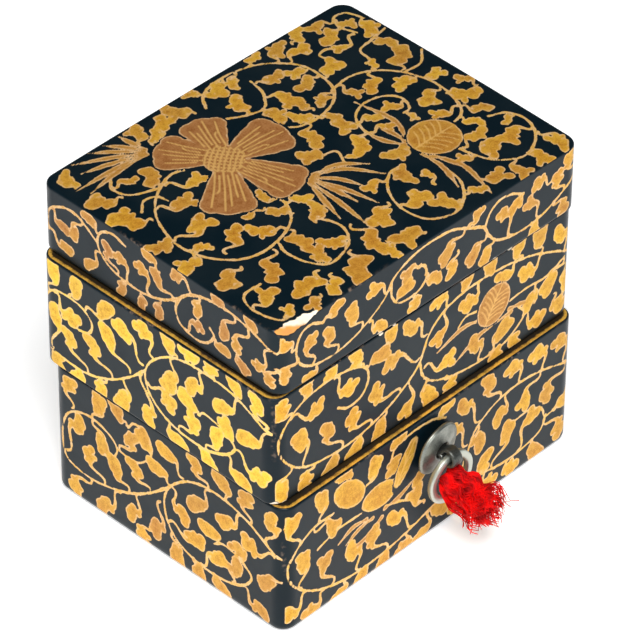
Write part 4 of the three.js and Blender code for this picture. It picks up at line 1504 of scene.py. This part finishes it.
@dataclass(frozen=True)
class GiltRim(Finish):
    """Gold powder on the flat rims, rubbed to a browner gold in streaks, with painted shade: browner
    inwards and near-black in the gap under the tier above.
    """

    bright: Colour = (0.86, 0.48, 0.07, 1)
    # Rubbed gold of the streaks, also used as painted shade inwards on the rim.
    rubbed_and_shaded_brown: Colour = (0.13, 0.06, 0.014, 1)
    # Near-black of the painted gap shadow under the tier above.
    shade: Colour = (0.012, 0.010, 0.008, 1)

    def draw(self, shader: Shader, surface: bpy.types.Node) -> None:
        """Mixes bright and rubbed gold by streaks and grain, and paints shade inwards: browner, then
        near-black under the tier above.
        """
        streak = shader.ramp(shader.noise(240.0, 5.0, (1, 1, 0.4)), 0.36, 0.66)
        mottle = shader.group(SharedEffects.hand_mottle(), Cloud=0.8, Grain=0.6).outputs["Value"]
        inset = shader.channel(Channel.ARRIS)
        share = shader.math("MULTIPLY", streak, 0.5)
        share = shader.math("ADD", share, shader.math("MULTIPLY", mottle, 1.5))
        # Painted shade: the rim turns browner inwards, towards the tier above.
        share = shader.math("ADD", share, shader.ramp(inset, 0.4, 1.1, 0.0, 0.4))
        # Painted shadow: about a millimetre in, the rim goes near-black for the gap under the tier above.
        uneven = shader.math("ADD", inset, shader.math("MULTIPLY", mottle, 0.4))
        dark = shader.ramp(uneven, 0.85, 1.1, 0.0, 0.95)
        gilt = shader.mix(share, self.bright, self.rubbed_and_shaded_brown)
        shader.join(shader.mix(dark, gilt, self.shade), surface.inputs["Base Color"])
        rough = shader.math("ADD", 0.36, shader.math("MULTIPLY", streak, 0.2))
        shader.join(rough, surface.inputs["Roughness"])
        surface.inputs["Metallic"].default_value = 0.35


@dataclass(frozen=True)
class InnerLacquer(Finish):
    """Plain black lacquer inside and underneath, with a faint brushed haze."""

    ground: Colour = (0.006, 0.009, 0.011, 1)
    worn: Colour = (0.02, 0.018, 0.016, 1)

    def draw(self, shader: Shader, surface: bpy.types.Node) -> None:
        """Mixes two blacks by brushed noise and varies the gloss with it."""
        haze = shader.ramp(shader.noise(120.0, 5.0, (0.3, 1, 1)), 0.35, 0.7)
        shader.join(shader.mix(haze, self.ground, self.worn), surface.inputs["Base Color"])
        rough = shader.math("ADD", 0.22, shader.math("MULTIPLY", haze, 0.2))
        shader.join(rough, surface.inputs["Roughness"])
        shader.join(shader.bump(shader.noise(300.0, 3.0), 0.00003), surface.inputs["Normal"])


@dataclass(frozen=True)
class GreyMetal(Finish):
    """Rubbed grey metal with darker clouds and fine scratches."""

    light: Colour = (0.42, 0.43, 0.38, 1)
    dark: Colour = (0.10, 0.105, 0.095, 1)
    roughness: float = 0.3

    def draw(self, shader: Shader, surface: bpy.types.Node) -> None:
        """Mixes light and dark metal by clouds, and scratches the surface."""
        cloud = shader.ramp(shader.noise(330.0, 5.0), 0.34, 0.68)
        mottle = shader.group(SharedEffects.hand_mottle(), Cloud=0.6, Grain=0.9).outputs["Value"]
        share = shader.math("ADD", shader.math("MULTIPLY", cloud, 0.6), mottle)
        shader.join(shader.mix(share, self.light, self.dark), surface.inputs["Base Color"])
        rough = shader.math("ADD", self.roughness, shader.math("MULTIPLY", cloud, 0.16))
        shader.join(rough, surface.inputs["Roughness"])
        surface.inputs["Metallic"].default_value = 0.85
        scratch = shader.noise(1400.0, 4.0, (0.2, 1, 1))
        shader.join(shader.bump(scratch, 0.00006, 0.6), surface.inputs["Normal"])


@dataclass(frozen=True)
class Silk(Finish):
    """Bright red silk thread, with painted shade: darker red in clumps of noise, for the shadows between
    the tuft's locks.
    """

    bright: Colour = (1.0, 0.0, 0.0, 1)
    # Darker red: painted shade for the shadows between locks of the tuft.
    deep: Colour = (0.3, 0.0, 0.002, 1)

    def draw(self, shader: Shader, surface: bpy.types.Node) -> None:
        """Mixes bright red with the darker red of painted shade by clumps and a fine twist."""
        # Painted shade: noise clumps pick the darker red.
        clump = shader.ramp(shader.noise(520.0, 4.0), 0.38, 0.66)
        twist = shader.math("MULTIPLY", shader.noise(4200.0, 2.0), 0.3)
        share = shader.math("MULTIPLY", shader.math("ADD", clump, twist), 0.75)
        shader.join(shader.mix(share, self.bright, self.deep), surface.inputs["Base Color"])
        shader.join(shader.math("ADD", 0.45, twist), surface.inputs["Roughness"])
        surface.inputs["Specular IOR Level"].default_value = 0.15
        surface.inputs["Sheen Weight"].default_value = 0.12
        surface.inputs["Sheen Tint"].default_value = (1.0, 0.1, 0.05, 1)


@dataclass(frozen=True)
class PaleFloor(Finish):
    """A plain pale ground that glows a little, like a lit table."""

    colour: Colour = (0.92, 0.92, 0.92, 1)
    glow: float = 0.5

    def draw(self, shader: Shader, surface: bpy.types.Node) -> None:
        """Sets plain values."""
        surface.inputs["Base Color"].default_value = self.colour
        surface.inputs["Roughness"].default_value = 0.9
        surface.inputs["Specular IOR Level"].default_value = 0.0
        surface.inputs["Emission Color"].default_value = (1, 1, 1, 1)
        surface.inputs["Emission Strength"].default_value = self.glow


PAINTED_LACQUER = PaintedLacquer("painted_lacquer")
GILT_RIM = GiltRim("gilt_rim")
INNER_LACQUER = InnerLacquer("inner_lacquer")
PLATE_METAL = GreyMetal("plate_metal", (0.27, 0.28, 0.245, 1), (0.09, 0.095, 0.085, 1), 0.36)
EYE_METAL = GreyMetal("eye_metal", (0.15, 0.155, 0.14, 1), (0.025, 0.027, 0.025, 1), 0.28)
RING_METAL = GreyMetal("ring_metal", (0.62, 0.63, 0.57, 1), (0.22, 0.225, 0.2, 1), 0.3)
RED_SILK = Silk("red_silk")
PALE_FLOOR = PaleFloor("pale_floor")


# The ring fitting.


@dataclass
class RingFitting:
    """Plate, eye and ring on the lower tray's front wall."""

    wall_y: float = -29.25
    wall: float = 2.8
    eye_z: float = 21.7
    reach: float = 4.5
    plate_radius: float = 5.35
    plate_hole: float = 1.75
    plate_thickness: float = 0.7
    plate_dome: float = 0.8
    plate_tilt: float = 8.0
    plate_off: float = 0.9
    eye_hole: float = 1.2
    strip: float = 0.8
    strip_width: float = 2.2
    leg: float = 4.2
    ring_radius: float = 4.7
    ring_band: float = 1.5
    ring_thick: float = 1.2

    def finish(
        self, piece: bpy.types.Object, finish: Finish, body: str, node: str, slot: str
    ) -> bpy.types.Object:
        """Gives a piece its finish and body, and hides the solid it stands for.

        Args:
            piece: The piece.
            finish: Its finish.
            body: Name of the body it rides on.
            node: Name of the solid it stands for.
            slot: Not used.

        Returns:
            The piece.
        """
        piece.data.materials.append(finish.material())
        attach(piece, body)
        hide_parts(node)
        log.info("%s: %d faces", piece.name, len(piece.data.polygons))
        return piece

    def plate(self) -> bpy.types.Object:
        """A domed washer: a closed profile of radius and depth turned about the shank, then tilted.

        Returns:
            The plate.
        """
        r = np.linspace(self.plate_hole, self.plate_radius - 0.2, 14)
        bulge = self.plate_dome * (1 - (r / self.plate_radius) ** 2)
        front = np.column_stack([r, bulge + self.plate_thickness])
        angle = np.radians(np.linspace(75, -75, 7))
        middle = 0.5 * self.plate_thickness
        round_edge = self.plate_radius - 0.3 + 0.3 * np.cos(angle)
        nose = np.column_stack([round_edge, middle + middle * np.sin(angle)])
        back = np.column_stack([r, bulge])[::-1]
        section = np.vstack([front, nose, back])
        turn = np.linspace(0, 2 * np.pi, 96, endpoint=False)
        ring = np.stack([
            section[:, :1] * np.cos(turn),
            -np.repeat(section[:, 1:], len(turn), 1),
            section[:, :1] * np.sin(turn),
        ], axis=2)
        dent = 0.05 * np.sin(3 * turn + 0.6) + 0.035 * np.sin(5 * turn + 2)
        ring[:, :, 1] += dent[None, :] * (section[:, :1] / self.plate_radius) ** 2
        places = ring.reshape(-1, 3)
        axis = np.array([1, 0, 1]) / np.sqrt(2)
        spin = np.array(Matrix.Rotation(np.radians(self.plate_tilt), 3, axis.tolist()))
        places = places @ spin.T + np.array([0, self.wall_y - self.plate_off, self.eye_z])
        piece = write_mesh("ring_plate_dished", places, ring_quads(len(section), len(turn), True))
        return self.finish(piece, PLATE_METAL, "box", "ring_plate", "dark_metal")

    def eye(self) -> bpy.types.Object:
        """A strip folded into an eye: a rounded section carried from one leg, round the eye, to the other.

        Returns:
            The eye with its legs.
        """
        middle = self.eye_hole + 0.5 * self.strip
        half = 0.5 * self.strip + 0.03
        inside = self.reach + self.wall + 0.7
        join = np.degrees(np.arcsin(half / middle))
        bow = np.radians(np.linspace(join, 360 - join, 40))
        shank = np.linspace(inside - 0.5, middle * np.cos(np.radians(join)), 10)[:-1]
        bend = np.radians(np.linspace(0, 90, 5))
        turn_in = np.column_stack([inside - 0.5 + 0.5 * np.sin(bend), half + 0.5 - 0.5 * np.cos(bend)])
        turn_in = turn_in[::-1]
        leg = np.column_stack([np.full(5, inside), np.linspace(self.leg - 0.05, half + 0.6, 5)])
        upper = np.vstack([leg, turn_in[:-1], np.column_stack([shank, np.full(len(shank), half)])])
        loop = np.column_stack([middle * np.cos(bow), middle * np.sin(bow)])
        path = np.vstack([upper, loop, (upper * np.array([1, -1]))[::-1]])
        along = np.gradient(path, axis=0)
        along /= np.linalg.norm(along, axis=1)[:, None]
        out = np.column_stack([along[:, 1], -along[:, 0]])
        around = np.linspace(0, 2 * np.pi, 20, endpoint=False)
        squared = (np.abs(np.cos(around)) ** 6 + np.abs(np.sin(around)) ** 6) ** (-1 / 6)
        across, through = squared * np.cos(around), squared * np.sin(around)
        flat = path[:, None, :] + out[:, None, :] * (0.5 * (self.strip - 0.04) * through)[None, :, None]
        wide = np.repeat((0.5 * self.strip_width * across)[None, :], len(path), 0)
        outward = flat[:, :, 0] - self.reach + self.wall_y
        places = np.stack([wide, outward, flat[:, :, 1] + self.eye_z], axis=2)
        count = len(around)
        caps = [np.arange(count)[::-1], (len(path) - 1) * count + np.arange(count)]
        piece = write_mesh("ring_eye_folded", places.reshape(-1, 3), ring_quads(len(path), count), caps)
        return self.finish(piece, EYE_METAL, "box", "ring_eye", "dark_metal")

    def ring(self) -> bpy.types.Object:
        """A flat band with softened edges, turned about the way out of the wall.

        Returns:
            The ring.
        """
        around = np.linspace(0, 2 * np.pi, 24, endpoint=False)
        squared = (np.abs(np.cos(around)) ** 4 + np.abs(np.sin(around)) ** 4) ** (-1 / 4)
        band = self.ring_radius + 0.5 * self.ring_band * squared * np.cos(around)
        through = 0.5 * self.ring_thick * squared * np.sin(around)
        turn = np.linspace(0, 2 * np.pi, 120, endpoint=False)
        wear = 1 + 0.012 * np.sin(2 * turn + 1) + 0.006 * np.sin(7 * turn)
        places = np.stack([
            band[:, None] * np.cos(turn) * wear,
            np.repeat(through[:, None], len(turn), 1) + self.wall_y - self.reach,
            band[:, None] * np.sin(turn) * wear + self.eye_z - self.ring_radius,
        ], axis=2)
        quads = ring_quads(len(band), len(turn), True)[:, ::-1]
        piece = write_mesh("ring_band", places.reshape(-1, 3), quads)
        return self.finish(piece, RING_METAL, "pull_ring", "ring", "ring_metal")

    def build(self) -> None:
        """Builds all three pieces."""
        self.plate()
        self.eye()
        self.ring()


@dataclass
class Tassel:
    """A short tuft of silk threads passed through the ring, frayed at its end."""

    fitting: RingFitting
    strands: int = 760
    samples: int = 14
    thread: float = 0.13
    sweep: float = 0.18
    hang: float = 5.0
    clumps: int = 34
    shortest: float = 6.2
    longest: float = 8.5
    inside: float = 0.75
    stray_share: float = 0.035
    seed: int = 5

    def middle(self, out: Array) -> Array:
        """The tuft's middle line: it leaves the ring level, droops as it goes and sweeps to one side."""
        ahead = np.clip(out, 0, None)
        drop = self.hang + 0.42 * ahead + 0.012 * ahead**2 + 0.5 * np.clip(out, 0, 1.5)
        return np.stack([self.sweep * out, -out, -drop], axis=-1)

    def build(self) -> bpy.types.Object:
        """Carries a small round section along every thread.

        A thread starts in a disc inside the ring, spreads with the tuft, waves more towards its end, and
        keeps close to the other threads of its clump.

        Returns:
            The tuft.
        """
        random = np.random.default_rng(self.seed)
        clumps = self.clumps
        clump = random.integers(0, clumps, self.strands)
        angle = random.uniform(0, 2 * np.pi, clumps)[clump]
        spread = np.sqrt(random.uniform(0, 1, clumps))[clump]
        home = np.column_stack([spread * np.cos(angle), spread * np.sin(angle)])
        home += random.normal(0, 0.1, home.shape)
        t = np.linspace(0, 1, self.samples)[None, :]
        reach = random.uniform(self.shortest, self.longest, self.strands)[:, None]
        out = -self.inside + t * (reach + self.inside)
        girth_x = np.interp(out, [-0.8, 0, 1, 3, 10], [1.5, 2.5, 2.9, 3.1, 3.2])
        girth_z = np.interp(out, [-0.8, 0, 1, 3, 10], [1.4, 2.4, 2.9, 3.5, 3.5])
        path = self.middle(out)
        wave = random.uniform(0, 2 * np.pi, (clumps, 2))[clump]
        beat = random.uniform(2.4, 5.4, clumps)[clump][:, None]
        kink = 0.2 + 0.55 * t
        path[:, :, 0] += home[:, :1] * girth_x + kink * np.sin(beat * out * 0.6 + wave[:, :1])
        path[:, :, 2] += home[:, 1:] * girth_z + kink * np.cos(beat * out * 0.55 + wave[:, 1:])
        fray = random.normal(0, 1, (self.strands, 3))[:, None, :] * (t[:, :, None] ** 3) * 0.55
        path += fray
        stray = np.flatnonzero(random.uniform(0, 1, self.strands) < self.stray_share)
        away = (t[0, :, None] ** 2 * np.array([1.6, -1.2, 0.7]))[None]
        path[stray] += away * random.uniform(0.3, 1.0, (len(stray), 1, 1))
        lock = clump == clump[np.argmax(home.sum(axis=1))]
        path[lock] += (t[0, :, None] ** 2 * np.array([1.5, -1.6, 0.3]))[None]
        eye = np.array([0, self.fitting.wall_y - self.fitting.reach, self.fitting.eye_z])
        return self.tubes(path + eye, random)

    def tubes(self, path: Array, random: np.random.Generator) -> bpy.types.Object:
        """Gives every thread a four-sided section that narrows to its end.

        Args:
            path: Points of each thread.
            random: Source of the threads' thicknesses.

        Returns:
            The tuft.
        """
        sides = 4
        along = np.gradient(path, axis=1)
        along /= np.linalg.norm(along, axis=2, keepdims=True)
        across = np.cross(along, np.array([0.31, 0.2, 0.93]))
        across /= np.linalg.norm(across, axis=2, keepdims=True)
        upward = np.cross(along, across)
        thick = random.uniform(0.75, 1.25, (len(path), 1, 1)) * self.thread
        taper = np.linspace(1.0, 0.55, self.samples)[None, :, None] * thick
        turn = np.linspace(0, 2 * np.pi, sides, endpoint=False)
        places = (
            path[:, :, None, :]
            + (across * taper)[:, :, None, :] * np.cos(turn)[None, None, :, None]
            + (upward * taper)[:, :, None, :] * np.sin(turn)[None, None, :, None]
        )
        each = self.samples * sides
        shift = (np.arange(len(path)) * each)[:, None, None]
        quads = (ring_quads(self.samples, sides)[None] + shift).reshape(-1, 4)
        first = np.arange(sides)[None, None, ::-1] + shift
        last = np.arange(each - sides, each)[None, None, :] + shift
        quads = np.vstack([quads, first.reshape(-1, 4), last.reshape(-1, 4)])
        piece = write_mesh("silk_tuft", places.reshape(-1, 3), quads)
        return self.fitting.finish(piece, RED_SILK, "pull_ring", "tassel", "silk")


@dataclass
class Studio:
    """A pale floor, soft light and a camera at the photograph's angle."""

    azimuth: float = -46.374
    elevation: float = 40.165
    roll: float = 0.531
    distance: float = 924.9
    target_z: float = 32.68
    aside: float = 1.2
    upward: float = -0.084
    lens: float = 288.5
    shift: Point = (-0.0026, 0.0065)

    def floor(self) -> None:
        """A wide flat square under the box."""
        half = 1500.0
        corners = np.array([[-half, -half, 0], [half, -half, 0], [half, half, 0], [-half, half, 0]])
        piece = write_mesh("pale_floor", corners, np.array([[0, 1, 2, 3]]))
        piece.data.materials.append(PALE_FLOOR.material())

    def axes(self) -> tuple[Array, Array, Array]:
        """Right, up and back of the camera, rolled about its line of sight."""
        turn, lift, roll = np.radians([self.azimuth, self.elevation, self.roll])
        back = np.array([np.sin(turn) * np.cos(lift), -np.cos(turn) * np.cos(lift), np.sin(lift)])
        right = np.array([np.cos(turn), np.sin(turn), 0])
        up = np.cross(back, right)
        return np.cos(roll) * right + np.sin(roll) * up, np.cos(roll) * up - np.sin(roll) * right, back

    def camera(self) -> None:
        """Places the camera."""
        right, up, back = self.axes()
        target = np.array([0, 0, self.target_z])
        spot = target + back * self.distance + right * self.aside + up * self.upward
        data = bpy.data.cameras.new("photo_camera")
        data.lens = self.lens
        data.sensor_width = 36.0
        data.shift_x, data.shift_y = self.shift
        data.clip_start, data.clip_end = 0.05, 10.0
        camera = bpy.data.objects.new("photo_camera", data)
        matrix = np.eye(4)
        matrix[:3, :3] = np.column_stack([right, up, back])
        matrix[:3, 3] = spot * MM
        camera.matrix_world = Matrix(matrix.tolist())
        bpy.context.scene.collection.objects.link(camera)
        bpy.context.scene.camera = camera

    def lamp(self, name: str, spot: tuple[float, float, float], size: float, power: float) -> None:
        """A square soft light that faces the box."""
        data = bpy.data.lights.new(name, "AREA")
        data.shape, data.size, data.energy = "SQUARE", size * MM, power
        lamp = bpy.data.objects.new(name, data)
        place = np.array(spot)
        back = (place - np.array([0, 0, 30.0])) / np.linalg.norm(place - np.array([0, 0, 30.0]))
        right = np.cross([0, 0, 1], back)
        right /= np.linalg.norm(right)
        matrix = np.eye(4)
        matrix[:3, :3] = np.column_stack([right, np.cross(back, right), back])
        matrix[:3, 3] = place * MM
        lamp.matrix_world = Matrix(matrix.tolist())
        bpy.context.scene.collection.objects.link(lamp)

    def light(self) -> None:
        """Two weak side lights, a stronger one above, and a surround that is bright only low down."""
        self.lamp("left_light", (-620, -180, 300), 420, 0.42)
        self.lamp("front_light", (160, -700, 290), 420, 0.08)
        self.lamp("top_light", (-240, -280, 600), 320, 5.5)
        world = bpy.data.worlds.new("bright_horizon")
        world.use_nodes = True
        shader = Shader(world.node_tree)
        way = shader.node("ShaderNodeSeparateXYZ")
        shader.join(shader.node("ShaderNodeTexCoord").outputs["Generated"], way.inputs[0])
        glow = shader.ramp(way.outputs["Z"], 0.1, 0.42, 0.9, 0.03)
        surround = world.node_tree.nodes["Background"]
        surround.inputs["Color"].default_value = (0.82, 0.92, 1.0, 1)
        shader.join(glow, surround.inputs["Strength"])
        bpy.context.scene.world = world
        bpy.context.scene.view_settings.view_transform = "Standard"

    def build(self) -> None:
        """Makes camera, floor and light."""
        self.camera()
        self.floor()
        self.light()


def lower_tray() -> Tray:
    """The deep lower tray."""
    away = {Side.RIGHT: running_scroll(58.5, 29.5), Side.BACK: running_scroll(76, 29.5)}
    faces = {Side.FRONT: LOWER_FRONT, Side.LEFT: LOWER_LEFT, **away}
    return Tray("lower_tray", 76.0, 58.5, 29.5, Seat(), faces, seed=100)


def upper_tray() -> Tray:
    """The shallower tray on top of it, with a step underneath."""
    away = {Side.RIGHT: running_scroll(58.3, 24.3), Side.BACK: running_scroll(76.9, 24.3)}
    faces = {Side.FRONT: UPPER_FRONT, Side.LEFT: UPPER_LEFT, **away}
    seat = Seat(-0.1, 1.5, -0.27, 29.8)
    # Worn spots at the foot of the front left corner, then painted highlights along the seam with the lid.
    nicks_and_highlights = (
        (Side.FRONT, -38, 0.3, 0.55), (Side.FRONT, -35.8, 0.2, 0.4), (Side.LEFT, 28.6, 0.2, 0.45),
        (Side.FRONT, -12, 24.2, 0.3), (Side.FRONT, -8.5, 24.2, 0.25), (Side.FRONT, 21, 24.2, 0.3),
    )
    return Tray(
        "upper_tray", 76.9, 58.3, 24.3, seat, faces, seed=200, nicks_and_highlights=nicks_and_highlights,
        bottom_round=0.6, floor_top=1.0, plug_inset=5.0, plug_depth=2.0,
    )


def lid() -> Lid:
    """The lid."""
    away = {Side.RIGHT: running_scroll(59.4, 14.3), Side.BACK: running_scroll(75.6, 14.3)}
    faces = {Side.FRONT: LID_FRONT, Side.LEFT: LID_LEFT, **away}
    # Painted highlights along the lid's lower edge, at its seam with the upper tray, drawn as pale nicked
    # spots.
    nicks_and_highlights = ((Side.FRONT, -13, 0.3, 0.4), (Side.FRONT, -10.4, 0.2, 0.3), (Side.FRONT, 16, 0.2, 0.35))
    seat = Seat(0.55, 1.65, -0.8, 54.4)
    return Lid("lid", 75.6, 59.4, 14.3, seat, faces, seed=300, nicks_and_highlights=nicks_and_highlights, top=LID_TOP)


def main() -> None:
    """Builds the box piece by piece, then the studio around it."""
    logging.basicConfig(level=logging.INFO, format="%(name)s %(message)s")
    Studio().build()
    for tier in (lower_tray(), upper_tray(), lid()):
        tier.build()
    fitting = RingFitting()
    fitting.build()
    Tassel(fitting).build()


if __name__ == "__main__":
    main()
